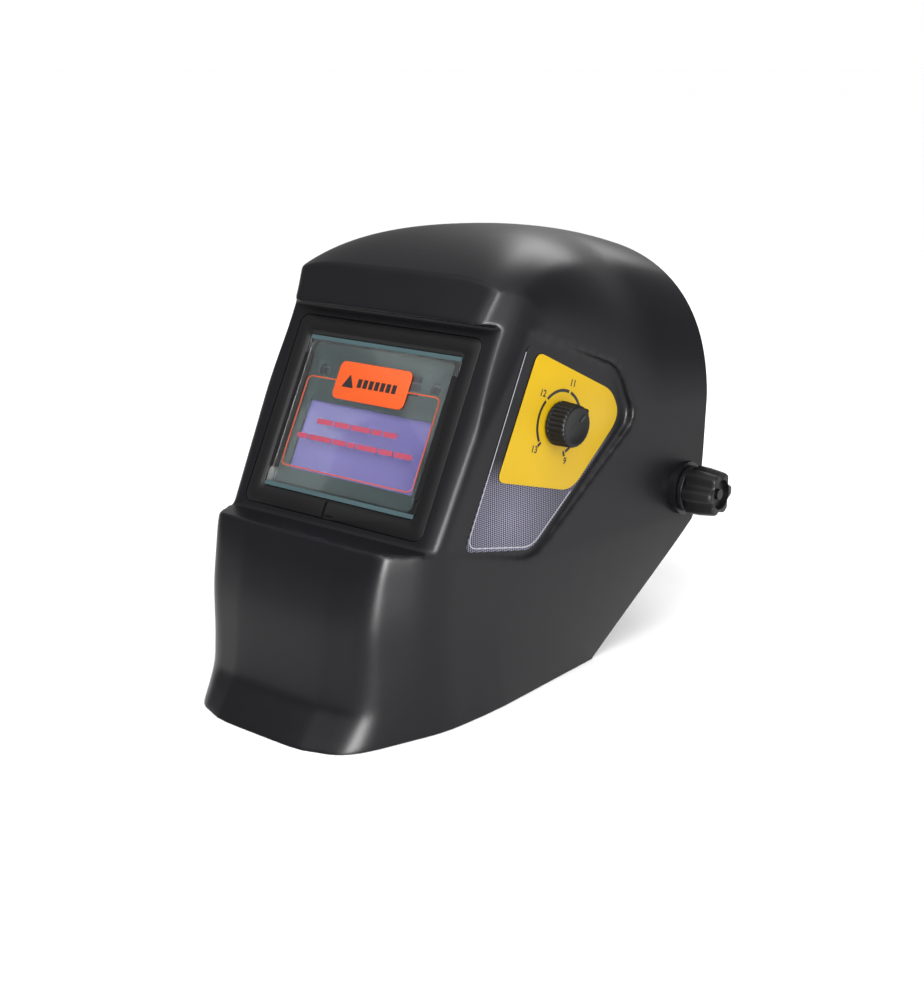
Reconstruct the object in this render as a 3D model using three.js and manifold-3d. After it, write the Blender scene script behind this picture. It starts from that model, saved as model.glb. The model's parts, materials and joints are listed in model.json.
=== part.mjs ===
// Auto-darkening welding helmet: moulded shell, filter cartridge behind a leaning window,
// and headgear on two side pivots.
// Helmet frame: millimetres, +Z up, the wearer faces -Y, zero at the middle of the front cover lens.
// The outer group moves that frame so that the shell's flat lower edge rests on Z = 0.
import * as THREE from 'three';
import { mergeVertices } from 'three/addons/utils/BufferGeometryUtils.js';
import Module from 'manifold-3d';

const wasm = await Module();
wasm.setup();

// ---- driving dimensions ----
const gap = 0.3;                    // clearance between pieces that touch
const wall = 2.4;                   // moulded shell wall
const lowerEdge = -162;             // flat lower edge of the shell
const sideSpread = 0.105;           // how fast the sides open towards the rear
const sideCurve = 0.00021;          // extra opening of the sides at the rear
const taperTop = -77;               // the sides draw in below this height
const roofPeak = 102;               // highest point of the roof
const roofPeakAt = 118;             // where the roof is highest, front to back
const rimAt = 198;                  // rear rim beside the pivots
const rearCorner = 117;             // where the lower edge meets the sloping rear edge
const rimFoot = { y: 191, z: -83 }; // where the sloping rear edge meets the upright rim
const crestHeight = 85;             // brow crest
const windowLean = 27.9;            // lens plane leans back from upright, degrees
const windowFront = 1.5;            // housing face stands this far outside the lens face
const housingCorner = 9.5;          // corner between housing face and side panels
const panelToe = 5.4;               // side panels open towards the rear, degrees
const windowWall = 5.5;             // wall behind the lens bezel

const lens = { width: 116, height: 94.6, thick: 1 };
const bezelBorder = { side: 11, top: 11.7 }; // bezel beyond the lens
const bezel = {
  width: lens.width + bezelBorder.side * 2,
  height: lens.height + bezelBorder.top * 2,
  thick: 2.5,
  lip: 0.4,
};
const lensLedge = 4;                // how far the lens overlaps the wall behind it
const windowMargin = 11;            // from the bezel out to the side panel
const panelStep = 3.6;              // how far the side panel is sunk in the shell's side
const lowerSpread = 1.9;            // the lower edge is wider than the sides at the window
const panelAt = { x: bezel.width / 2 + windowMargin, y: -29 }; // front lower point of the side panel
const sideAtWindow = panelAt.x + panelStep; // half width of the shell beside the lens
const lowerHalfWidth = sideAtWindow + lowerSpread; // half width of the lower edge
const housingHalf = panelAt.x - 7;  // flat part of the housing face
const cartridgeInside = { side: 3, top: 2.3 }; // the cartridge is this much smaller than the lens all round
const cartridge = {
  width: lens.width - cartridgeInside.side * 2,
  height: lens.height - cartridgeInside.top * 2,
  front: 5,
  rear: 10.4,
  wall: 2,
};
const filter = { width: 92, height: 42, below: 12.4, thick: 2.2, lip: 1 };
const solar = { width: 62, height: 11, above: 27, thick: 1 };
const sensor = { radius: 3.4, across: 42, thick: 3 };
const rearKnob = { radius: 6.5, tall: 3.4, across: 20, above: 27, shaft: 2 };
const battery = { radius: 10, thick: 3.2, across: 37 };
const pocketWall = 6;                // wall that holds the cartridge
const retainer = { thick: 3, screw: 1.2 };
const filmTab = { width: 55, height: 23, x: 0.5, up: 22.7 };
const lead = { up: 10, deep: -15, radius: 1.5 }; // where the dial's lead enters the cartridge
const leadClear = 5;                // from the pocket wall to the lead
const dial = { along: 98.9, height: 0.4, radius: 13, tall: 12.6, clearance: 0.9 };
const pot = { radius: 8.5, deep: 9, bush: 4, shaft: 3 };

const pivot = { y: 182, z: -60 };
const pivotStands = 2.3;            // the flat boss round each pivot stands this far out of the side
const bolt = { radius: 4.6, head: 11, headThick: 3 };
const boreGap = 0.6;                // play of the pivot bolt in its bores
const boss = { radius: 17, thick: 7, bore: bolt.radius + boreGap };
const tensionKnob = { radius: 15.6, waist: 13, long: 20, collar: 14.6, collarThick: 3.2, recess: 9.5 };
const headHalf = 84;                // half width of the head ring
const headFront = 88;               // front of the head ring
const headRear = 281;               // rear of the head ring
const ringStraightFrom = 150;
const ringStraightTo = 222;
const bandHeight = 27;
const bandMiddle = -33;             // height of the middle of the head band at the sides
const bandThick = 2;
const rearStrap = { height: 17, middle: -34, drop: 32, thick: 1.8, from: 197 };
const crown = { top: 70, width: 19, thick: 1.8, at: 176, studAcross: 8, past: 104 };
const unit = { width: 84, height: 33 };
const ratchetKnob = { radius: 25, tall: 15 };
const arm = { width: 30, thick: 4 };
const armRivets = { y: 157 };
const rivet = { shaft: 2.1, head: 3.8, headThick: 1.4 };
// Tilt limits and the finger and pegs that set them, in degrees and millimetres
const tilt = { low: -15, high: 75, room: 18, fingerAt: -120, finger: 2.4, reach: 19, pegAt: 16.6, peg: 2, thick: 2.4 };
const foreheadRise = 7;             // the head band rises this much at the forehead
const padThick = 6;                 // sweat band and rear pad
const pinion = { radius: 4.1, teeth: 9, hub: 3, pitch: 2.6 };
const tongue = { height: 4.6, reach: 30, tooth: 1.1, teeth: 16 };
const bodyRear = 245;               // rear end of the form before the rim is cut

// Front of the shell at each height: bow of the face, how far in from the side its crease is,
// rounding of the crease and start of the side
const front = [
  { z: lowerEdge, y: -80, bow: 11, inset: 23.6, round: 20, sideFrom: -22 },
  { z: -151, y: -74, bow: 9, inset: 23.6, round: 16, sideFrom: -25 },
  { z: -140, y: -69, bow: 6.5, inset: 23.1, round: 13, sideFrom: -28 },
  { z: -122, y: -67, bow: 5, inset: 23.1, round: 11, sideFrom: -30 },
  { z: -98, y: -65.5, bow: 4, inset: 22.6, round: 9, sideFrom: -30 },
  { z: -74, y: -61, bow: 3, inset: 21.6, round: 7, sideFrom: -29 },
  { z: -52.7, y: -54.4, bow: 1.5, inset: 19.6, round: 5, sideFrom: -27 },
  { z: 58, y: 18, bow: 0.8, inset: 13.6, round: 5, sideFrom: 42 },
  { z: 96, y: 39, bow: 0.8, inset: 5.6, round: 5, sideFrom: 58 },
];

// Side view of the recess that frames the housing: ledge, side step and brow underside
const recessCorners = [[-120, -44], [-29, -56], [48, -77], [135, -7], [120, 26.5], [39, 58.5], [-120, 80.5]];

// Side label and its yellow field, drawn in the side panel: rearwards, up
const stickerCorners = [[21.5, -59.5], [77, -71], [158, -7], [147, 17.5], [72.5, 49.5]];
const fieldCorners = [[47, -24.5], [111, -42.5], [155, -5], [147, 12], [80, 44.5]];

// ---- helpers ----
const rad = Math.PI / 180;
const lean = windowLean * rad;
const helmet = new THREE.Group();
const finishes = {
  shell: new THREE.MeshStandardMaterial({ color: 0x17171a, roughness: 0.42 }),
  trim: new THREE.MeshStandardMaterial({ color: 0x101012, roughness: 0.5 }),
  clear: new THREE.MeshStandardMaterial({ color: 0x9fb7b4, roughness: 0.08, transparent: true, opacity: 0.35 }),
  orange: new THREE.MeshStandardMaterial({ color: 0xe8641e, roughness: 0.35 }),
  violet: new THREE.MeshStandardMaterial({ color: 0x5b559c, roughness: 0.12 }),
  solar: new THREE.MeshStandardMaterial({ color: 0x1b2a44, roughness: 0.25 }),
  board: new THREE.MeshStandardMaterial({ color: 0x1f6b3a, roughness: 0.5 }),
  metal: new THREE.MeshStandardMaterial({ color: 0xb8bcc2, roughness: 0.3, metalness: 1 }),
  yellow: new THREE.MeshStandardMaterial({ color: 0xe0ab28, roughness: 0.35 }),
  plastic: new THREE.MeshStandardMaterial({ color: 0x1c1c1f, roughness: 0.5 }),
  strap: new THREE.MeshStandardMaterial({ color: 0x222226, roughness: 0.5 }),
  foam: new THREE.MeshStandardMaterial({ color: 0x2b2c30, roughness: 0.95 }),
};

function solid(geometry) {
  const bare = geometry.index ? geometry.toNonIndexed() : geometry.clone();
  bare.deleteAttribute('normal');
  bare.deleteAttribute('uv');
  const merged = mergeVertices(bare, 1e-4);
  return new wasm.Manifold(new wasm.Mesh({
    numProp: 3,
    vertProperties: merged.attributes.position.array,
    triVerts: new Uint32Array(merged.index.array),
  }));
}

function geometryOf(body) {
  const raw = body.getMesh();
  const geometry = new THREE.BufferGeometry();
  geometry.setAttribute('position', new THREE.BufferAttribute(new Float32Array(raw.vertProperties), 3));
  geometry.setIndex(new THREE.BufferAttribute(new Uint32Array(raw.triVerts), 1));
  return geometry;
}

function add(parent, name, shape, finish) {
  const geometry = shape.isBufferGeometry ? shape : geometryOf(shape);
  const mesh = new THREE.Mesh(geometry, finish);
  mesh.name = name;
  parent.add(mesh);
  return mesh;
}

// A closed skin over rings that all hold the same number of points
function loft(rings) {
  const count = rings[0].length;
  const position = [];
  const index = [];
  rings.forEach((ring) => ring.forEach((p) => position.push(p.x, p.y, p.z)));
  for (let row = 0; row + 1 < rings.length; row += 1) {
    for (let k = 0; k < count; k += 1) {
      const next = (k + 1) % count;
      const a = row * count + k;
      const b = row * count + next;
      index.push(a, b, b + count, a, b + count, a + count);
    }
  }
  [0, rings.length - 1].forEach((row) => {
    const flat = rings[row];
    const middle = flat.reduce((sum, p) => sum.add(p), new THREE.Vector3()).divideScalar(count);
    const hub = position.length / 3;
    position.push(middle.x, middle.y, middle.z);
    for (let k = 0; k < count; k += 1) {
      const a = row * count + k;
      const b = row * count + (k + 1) % count;
      if (row === 0) index.push(hub, b, a);
      else index.push(hub, a, b);
    }
  });
  const geometry = new THREE.BufferGeometry();
  geometry.setAttribute('position', new THREE.Float32BufferAttribute(position, 3));
  geometry.setIndex(index);
  const body = solid(geometry);
  return body.volume() > 0 ? body : solid(flipped(geometry));
}

function flipped(geometry) {
  const turned = geometry.clone();
  const order = turned.index.array;
  for (let k = 0; k < order.length; k += 3) [order[k], order[k + 1]] = [order[k + 1], order[k]];
  return turned;
}

function plate(shape, from, to, curveSegments = 2) {
  const geometry = new THREE.ExtrudeGeometry(shape, { depth: to - from, bevelEnabled: false, curveSegments });
  return geometry.translate(0, 0, from);
}

function roundedRect(width, height, radius, x = 0, y = 0) {
  const w = width / 2;
  const h = height / 2;
  const shape = new THREE.Shape();
  shape.moveTo(x - w + radius, y - h);
  shape.lineTo(x + w - radius, y - h);
  shape.absarc(x + w - radius, y - h + radius, radius, -Math.PI / 2, 0);
  shape.lineTo(x + w, y + h - radius);
  shape.absarc(x + w - radius, y + h - radius, radius, 0, Math.PI / 2);
  shape.lineTo(x - w + radius, y + h);
  shape.absarc(x - w + radius, y + h - radius, radius, Math.PI / 2, Math.PI);
  shape.lineTo(x - w, y - h + radius);
  shape.absarc(x - w + radius, y - h + radius, radius, Math.PI, Math.PI * 1.5);
  return shape;
}

function disc(radius, from, to, sides = 20, x = 0, y = 0) {
  const geometry = new THREE.CylinderGeometry(radius, radius, to - from, sides);
  return geometry.rotateX(Math.PI / 2).translate(x, y, (from + to) / 2);
}

// The same disc standing along X
function discX(radius, from, to, y, z, sides = 20) {
  return new THREE.CylinderGeometry(radius, radius, Math.abs(to - from), sides)
    .rotateZ(Math.PI / 2).translate((from + to) / 2, y, z);
}

function bend(from, corner, to, reach, steps) {
  const before = corner.clone().sub(from).setLength(Math.min(reach, corner.distanceTo(from) * 0.48));
  const after = to.clone().sub(corner).setLength(Math.min(reach, corner.distanceTo(to) * 0.48));
  const curve = new THREE.QuadraticBezierCurve(corner.clone().sub(before), corner, corner.clone().add(after));
  return curve.getPoints(steps);
}

// Moves every point of an open outline inwards along its own normal; front on the left of travel
function inset(points, amount) {
  if (amount === 0) return points;
  return points.map((p, k) => {
    const before = points[Math.max(0, k - 1)];
    const after = points[Math.min(points.length - 1, k + 1)];
    const along = after.clone().sub(before).normalize();
    return new THREE.Vector2(Math.max(0, p.x - along.y * amount), p.y + along.x * amount);
  });
}

function mirrored(half) {
  const other = half.slice(1).reverse().map((p) => new THREE.Vector2(-p.x, p.y));
  return half.concat(other);
}

const lerp = THREE.MathUtils.lerp;

// ---- shell form ----
const fullSide = (y) => sideAtWindow + sideSpread * y + sideCurve * y * y;
const pivotFace = fullSide(pivot.y) + pivotStands;

function sideWidth(y, z) {
  const full = fullSide(y);
  const drawn = Math.max(0, full - lowerHalfWidth);
  const share = THREE.MathUtils.clamp((taperTop - z) / (taperTop - lowerEdge), 0, 1);
  return full - drawn * share ** 1.2;
}


function frontAt(z) {
  if (z <= front[0].z) return front[0];
  let k = 0;
  while (k < front.length - 2 && z > front[k + 1].z) k += 1;
  const share = (z - front[k].z) / (front[k + 1].z - front[k].z);
  const mix = {};
  Object.keys(front[k]).forEach((key) => {
    mix[key] = lerp(front[k][key], front[k + 1][key], share);
  });
  return mix;
}


function planRing(z, amount) {
  const f = frontAt(z);
  const crease = sideAtWindow - f.inset;
  const faceAt = (x) => f.y - f.bow * (1 - (x / crease) ** 4);
  const corner = new THREE.Vector2(crease, f.y);
  const start = new THREE.Vector2(sideWidth(f.sideFrom, z), f.sideFrom);
  const later = new THREE.Vector2(sideWidth(f.sideFrom + 30, z), f.sideFrom + 30);
  const half = [0, 0.3, 0.55].map((share) => new THREE.Vector2(crease * share, faceAt(crease * share)));
  const from = new THREE.Vector2(crease * 0.6, faceAt(crease * 0.6));
  half.push(...bend(from, corner, start, f.round, amount > 0 ? 3 : 5));
  half.push(...bend(corner, start, later, 13, 3));
  const last = half[half.length - 1].y;
  for (let k = 1; k <= 6; k += 1) {
    const y = lerp(last, bodyRear, k / 6);
    half.push(new THREE.Vector2(sideWidth(y, z), y));
  }
  return mirrored(inset(half, amount)).map((p) => new THREE.Vector3(p.x, p.y, z));
}

function roofTop(y) {
  const away = y - roofPeakAt;
  const fall = away > 0 ? 13 / 87 ** 2 : (roofPeak - crestHeight) / (roofPeakAt - 33) ** 2;
  return roofPeak - fall * away * away;
}

function roofRing(y, amount) {
  const at = THREE.MathUtils.clamp((y - 33) / 125, 0, 1);
  const ease = at * at * (3 - 2 * at);
  const power = lerp(5.2, 2.5, ease);
  const spring = lerp(40, -20, ease);
  const half = fullSide(y) + 0.4 - amount;
  const top = roofTop(Math.max(y, 33)) - amount;
  const ring = [new THREE.Vector3(half, y, -210)];
  const steps = amount > 0 ? 20 : 30;
  for (let k = 0; k <= steps; k += 1) {
    const angle = Math.PI * k / steps;
    const c = Math.cos(angle);
    const s = Math.sin(angle);
    const x = Math.sign(c) * half * Math.abs(c) ** (2 / power);
    ring.push(new THREE.Vector3(x, y, spring + (top - spring) * s ** (2 / power)));
  }
  ring.push(new THREE.Vector3(-half, y, -210));
  return ring;
}

function mainBody(amount) {
  const low = amount > 0 ? lowerEdge - 20 : lowerEdge;
  const heights = [low, -157, -151, -140, -122, -98, -85, -74, -52.7, 58, 77, 112];
  const sides = loft(heights.map((z) => planRing(z, amount)));
  const fine = [-120, 20, 33, 48, 66, 90, 118, 146, 170, 194, 214, 250];
  const coarse = [-120, 33, 60, 90, 118, 150, 180, 214, 250];
  const stations = amount > 0 ? coarse : fine;
  return sides.intersect(loft(stations.map((y) => roofRing(y, amount))));
}

function extrudeAcross(shape, half) {
  // Shape is drawn as (y, z) and becomes a bar along X
  return solid(plate(shape, -half, half).rotateX(Math.PI / 2).rotateZ(Math.PI / 2));
}

function roundedPolygon(points, radii) {
  const shape = new THREE.Shape();
  const corners = points.map(([y, z]) => new THREE.Vector2(y, z));
  const drawn = [];
  corners.forEach((corner, k) => {
    const before = corners[(k + corners.length - 1) % corners.length];
    const after = corners[(k + 1) % corners.length];
    if (radii[k] > 0) drawn.push(...bend(before, corner, after, radii[k], 5));
    else drawn.push(corner);
  });
  shape.setFromPoints(drawn);
  return shape;
}


function recess(amount) {
  const grown = recessCorners.map(([y, z], k) => {
    const outward = [[0, -1], [0, -1], [0.4, -1], [1, -0.3], [0.7, 0.7], [0.3, 1], [0, 1]][k];
    return [y + outward[0] * amount, z + outward[1] * amount];
  });
  return extrudeAcross(roundedPolygon(grown, [0, 0, 13, 11, 11, 6, 0]), 140);
}

const panelX = (y) => panelAt.x + Math.tan(panelToe * rad) * (y - panelAt.y);
const windowY = (z, off = 0) => z * Math.tan(lean) - off / Math.cos(lean);

function housing(amount, faceAmount) {
  const rings = [-110, 110].map((z) => {
    const y = windowY(z, windowFront - faceAmount);
    const half = [new THREE.Vector2(0, y), new THREE.Vector2(housingHalf * 0.6 - amount, y)];
    const corner = new THREE.Vector2(panelX(y) - amount + 0.4, y);
    const behind = new THREE.Vector2(panelX(y + 40) - amount, y + 40);
    half.push(...bend(half[1], corner, behind, housingCorner, 6));
    half.push(new THREE.Vector2(panelX(bodyRear) - amount, bodyRear));
    return mirrored(half).map((p) => new THREE.Vector3(p.x, p.y, z));
  });
  return loft(rings);
}

function outerForm() {
  return mainBody(0).subtract(recess(0).subtract(housing(0, 0)));
}

function innerForm() {
  return mainBody(wall).subtract(recess(wall).subtract(housing(wall, windowWall)));
}

// Side view of everything the shell keeps: flat lower edge, sloping rear edge, upright rim
function sideView() {
  const shape = new THREE.Shape();
  shape.moveTo(-140, lowerEdge);
  shape.lineTo(rearCorner, lowerEdge);
  shape.quadraticCurveTo(lerp(rearCorner, rimFoot.y, 0.55), lerp(lowerEdge, rimFoot.z, 0.4), rimFoot.y, rimFoot.z);
  shape.quadraticCurveTo(rimAt - 1, -62, rimAt, -40);
  shape.lineTo(rimAt + 2, 20);
  shape.quadraticCurveTo(rimAt + 4, 60, rimAt + 7, 130);
  shape.lineTo(-140, 130);
  return extrudeAcross(shape, 150);
}

// Window frame: X across, Y up the lens, Z out of the lens
const windowGroup = new THREE.Group();
windowGroup.rotation.x = Math.PI / 2 - lean;
helmet.add(windowGroup);
const intoWindow = new THREE.Matrix4().makeRotationX(Math.PI / 2 - lean);
const windowSolid = (geometry) => solid(geometry.clone().applyMatrix4(intoWindow));

// Panel frame on the wearer's left: X rearwards along the panel, Y up, Z out of the panel
const panelGroup = new THREE.Group();
const panelMatrix = new THREE.Matrix4().makeTranslation(panelAt.x, panelAt.y, 0)
  .multiply(new THREE.Matrix4().makeRotationZ(Math.PI / 2 - panelToe * rad))
  .multiply(new THREE.Matrix4().makeRotationX(Math.PI / 2));
panelGroup.applyMatrix4(panelMatrix);
helmet.add(panelGroup);
const panelSolid = (geometry) => solid(geometry.clone().applyMatrix4(panelMatrix));

const pocketFloor = windowFront - bezel.thick - gap;
const wallBack = windowFront - windowWall;

function makeShell() {
  let body = outerForm().intersect(sideView()).subtract(innerForm());
  const pocket = roundedRect(bezel.width + gap * 2, bezel.height + gap * 2, 6);
  body = body.subtract(windowSolid(plate(pocket, pocketFloor, 20)));
  const hole = roundedRect(lens.width - lensLedge * 2, lens.height - lensLedge * 2, 4);
  body = body.subtract(windowSolid(plate(hole, wallBack - 3, 20)));
  // Wall that holds the cartridge, and the four posts its retainer screws into
  const deep = cartridge.front + cartridge.rear + lens.thick + gap * 3;
  const outside = roundedRect(cartridge.width + pocketWall * 2, cartridge.height + pocketWall * 2, 4);
  const inside = roundedRect(cartridge.width + 1, cartridge.height + 1, 2);
  const frame = windowSolid(plate(outside, wallBack - deep, wallBack + 0.6))
    .subtract(windowSolid(plate(inside, wallBack - deep - 5, wallBack)));
  body = body.add(frame.subtract(windowSolid(plate(hole, wallBack - deep, 20))));
  screwSpots().forEach(([x, y]) => {
    const pilot = windowSolid(disc(retainer.screw + gap, wallBack - deep - 5, wallBack - deep + 8, 16, x, y));
    body = body.subtract(pilot);
  });
  [-1, 1].forEach((side) => {
    const pad = solid(discX(boss.radius, side * (pivotFace - boss.thick), side * pivotFace, pivot.y, pivot.z, 28));
    const spotFace = solid(discX(boss.radius, side * pivotFace, side * (pivotFace + 9), pivot.y, pivot.z, 28));
    body = body.add(pad.intersect(sideView())).subtract(spotFace);
    body = body.subtract(solid(discX(boss.bore, side * 90, side * 130, pivot.y, pivot.z, 20)));
  });
  const potHole = panelSolid(disc(pot.bush + 0.5, -20, 20, 24, dial.along, dial.height));
  const leadHole = windowSolid(new THREE.BoxGeometry(pocketWall * 2 + 4, 8, 40)
    .translate(cartridge.width / 2 + 4, lead.up, lead.deep - 16));
  return body.subtract(potHole).subtract(leadHole);
}

// ---- window pieces, built flat in the window frame ----
function makeWindow() {
  const opening = roundedRect(lens.width + bezel.lip * 2, lens.height + bezel.lip * 2, 3);
  const ring = solid(plate(roundedRect(bezel.width, bezel.height, 5.5), windowFront - bezel.thick, windowFront))
    .subtract(solid(plate(opening, -10, 10)));
  add(windowGroup, 'lens_bezel', ring, finishes.trim);
  add(windowGroup, 'front_cover_lens', plate(roundedRect(lens.width, lens.height, 3), -lens.thick, 0), finishes.clear);
  add(windowGroup, 'lens_film', plate(roundedRect(lens.width - 6, lens.height - 6, 3), gap, gap + 0.3), finishes.clear);
  const tab = roundedRect(filmTab.width, filmTab.height, 4, filmTab.x, filmTab.up);
  add(windowGroup, 'film_pull_tab', plate(tab, gap * 2 + 0.3, gap * 2 + 0.7), finishes.orange);

  const face = wallBack - gap;
  const split = face - cartridge.front;
  const rearFace = split - gap - cartridge.rear;
  const block = roundedRect(cartridge.width, cartridge.height, 2);
  const room = roundedRect(cartridge.width - cartridge.wall * 2, cartridge.height - cartridge.wall * 2, 1.5);
  const view = roundedRect(filter.width, filter.height, 1, 0, -filter.below);
  let frontCase = solid(plate(block, split, face)).subtract(solid(plate(room, split - 5, face - cartridge.wall)));
  frontCase = frontCase.subtract(solid(plate(view, split - 5, 10)));
  const cellSlot = roundedRect(solar.width + gap * 2, solar.height + gap * 2, 1, 0, solar.above);
  frontCase = frontCase.subtract(solid(plate(cellSlot, split - 5, 10)));
  let rearCase = solid(plate(block, rearFace, split - gap));
  rearCase = rearCase.subtract(solid(plate(room, rearFace + cartridge.wall, 10))).subtract(solid(plate(view, rearFace - 5, 10)));
  [-1, 1].forEach((side) => {
    const hand = side < 0 ? 'right' : 'left';
    const eye = disc(sensor.radius + gap, split - 5, 10, 24, side * sensor.across, solar.above);
    frontCase = frontCase.subtract(solid(eye));
    add(windowGroup, `arc_sensor_${hand}`,
      disc(sensor.radius, face - 0.4 - sensor.thick, face - 0.4, 24, side * sensor.across, solar.above), finishes.violet);
    rearCase = rearCase.subtract(solid(disc(rearKnob.shaft + gap, rearFace - 5, rearFace + 5, 20, side * rearKnob.across, rearKnob.above)));
    const top = split - gap - 2.6;
    add(windowGroup, `battery_${hand}`,
      disc(battery.radius, top - battery.thick, top, 28, side * battery.across, rearKnob.above), finishes.metal);
    const knob = solid(plate(ribbed(rearKnob.radius, 18, 0.5), rearFace - gap - rearKnob.tall, rearFace - gap))
      .add(solid(disc(rearKnob.shaft, rearFace - gap - 1, rearFace + 6, 20)))
      .subtract(solid(new THREE.BoxGeometry(rearKnob.radius * 1.5, 1.4, 2).translate(0, 0, rearFace - gap - rearKnob.tall)));
    const placed = knob.translate([side * rearKnob.across, rearKnob.above, 0]);
    add(windowGroup, side > 0 ? 'sensitivity_knob' : 'delay_knob', placed, finishes.plastic);
  });
  const entry = new THREE.BoxGeometry(8, 5, 5).translate(cartridge.width / 2 - 1, lead.up, lead.deep);
  rearCase = rearCase.subtract(solid(entry));
  add(windowGroup, 'cartridge_front_case', frontCase, finishes.plastic);
  add(windowGroup, 'cartridge_rear_case', rearCase, finishes.plastic);
  const under = face - cartridge.wall - gap;
  const filterShape = roundedRect(filter.width + filter.lip * 2, filter.height + filter.lip * 2, 1, 0, -filter.below);
  add(windowGroup, 'darkening_filter', plate(filterShape, under - filter.thick, under), finishes.violet);
  const cell = roundedRect(solar.width, solar.height, 1, 0, solar.above);
  add(windowGroup, 'solar_cell', plate(cell, face - 0.5 - solar.thick, face - 0.5), finishes.solar);
  const board = roundedRect(cartridge.width - 8, 24, 1, 0, rearKnob.above);
  add(windowGroup, 'circuit_board', plate(board, split - 1.6, split), finishes.board);
  const innerLens = roundedRect(filter.width + 12, filter.height + 8, 2, 0, -filter.below);
  add(windowGroup, 'inner_cover_lens', plate(innerLens, rearFace - gap - lens.thick, rearFace - gap), finishes.clear);
  makeRetainer(rearFace - gap * 2 - lens.thick);
}

function makeRetainer(from) {
  const outside = roundedRect(cartridge.width + pocketWall * 2, cartridge.height + pocketWall * 2, 4);
  const view = roundedRect(filter.width, filter.height, 2, 0, -filter.below);
  const reach = roundedRect(rearKnob.across * 2 + rearKnob.radius * 2 + 6, rearKnob.radius * 2 + 5, 4, 0, rearKnob.above);
  let frame = solid(plate(outside, from - retainer.thick, from))
    .subtract(solid(plate(view, from - 9, from + 9))).subtract(solid(plate(reach, from - 9, from + 9)));
  screwSpots().forEach(([x, y], k) => {
    frame = frame.subtract(solid(disc(retainer.screw + gap, from - 9, from + 9, 16, x, y)));
    const screw = solid(disc(retainer.screw, from - retainer.thick - 1, from + 6, 16, x, y))
      .add(solid(disc(2.9, from - retainer.thick - gap - 1.8, from - retainer.thick - gap, 18, x, y)));
    add(windowGroup, `retainer_screw_${k + 1}`, screw, finishes.metal);
  });
  add(windowGroup, 'cartridge_retainer', frame, finishes.plastic);
}

function screwSpots() {
  const x = cartridge.width / 2 + pocketWall - 2.7;
  const y = cartridge.height / 2 + pocketWall - 2.7;
  return [[-x, -y], [x, -y], [x, y], [-x, y]];
}

function ribbed(radius, count, depth, pointerAt = null) {
  const points = [];
  for (let k = 0; k < count * 2; k += 1) {
    const angle = Math.PI * k / count;
    let r = k % 2 ? radius - depth : radius;
    if (pointerAt !== null) {
      const away = Math.abs(((angle - pointerAt + Math.PI * 3) % (Math.PI * 2)) - Math.PI);
      if (away < Math.PI / count * 0.9) r = radius + 1.6;
    }
    points.push(new THREE.Vector2(Math.cos(angle) * r, Math.sin(angle) * r));
  }
  return new THREE.Shape(points);
}

// ---- side panel pieces, built flat in the panel frame ----

function makePanelPieces() {
  const clearHole = solid(disc(7.4, -5, 5, 28, dial.along, dial.height));
  const sticker = solid(plate(roundedPolygon(stickerCorners, [6, 8, 10, 8, 4]), gap, gap + 0.3)).subtract(clearHole);
  add(panelGroup, 'side_panel_sticker', sticker, finishes.trim);
  const field = solid(plate(roundedPolygon(fieldCorners, [6, 10, 12, 8, 6]), gap * 2 + 0.3, gap * 2 + 0.6)).subtract(clearHole);
  add(panelGroup, 'dial_label', field, finishes.yellow);

  const place = (body) => body.translate([dial.along, dial.height, 0]);
  const base = gap * 2 + 0.6 + dial.clearance;
  const nutFrom = gap * 2 + 0.8;
  const washer = solid(disc(6.4, gap, gap + 0.8, 28)).subtract(solid(disc(pot.bush + gap, -5, 5, 24)));
  add(panelGroup, 'dial_washer', place(washer), finishes.metal);
  const nut = solid(new THREE.CylinderGeometry(6, 6, 2.4, 6).rotateX(Math.PI / 2).translate(0, 0, nutFrom + 1.2))
    .subtract(solid(disc(pot.bush + gap, -5, 9, 24)));
  add(panelGroup, 'dial_nut', place(nut), finishes.metal);
  let body = solid(disc(pot.radius, -wall - gap - pot.deep, -wall - gap, 28))
    .add(solid(disc(pot.bush, -wall - gap - 1, nutFrom + 2.8, 24)));
  body = body.subtract(solid(disc(pot.shaft + gap, -wall - 7, 20, 24)));
  add(panelGroup, 'shade_potentiometer', place(body), finishes.metal);
  add(panelGroup, 'potentiometer_shaft',
    place(solid(disc(pot.shaft, -wall - 6, base + dial.tall - 3, 24))), finishes.metal);
  let knob = solid(plate(ribbed(dial.radius, 26, 0.6, 24 * rad), base, base + dial.tall - 1.2))
    .add(solid(new THREE.CylinderGeometry(dial.radius - 1.9, dial.radius - 0.7, 1.4, 60).rotateX(Math.PI / 2)
      .translate(0, 0, base + dial.tall - 0.7)));
  knob = knob.subtract(solid(disc(8, -1, nutFrom + 3.4, 28)));
  knob = knob.subtract(solid(disc(pot.shaft + gap, -1, base + dial.tall - 2.6, 24)));
  add(panelGroup, 'shade_knob', place(knob), finishes.plastic);
}

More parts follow.
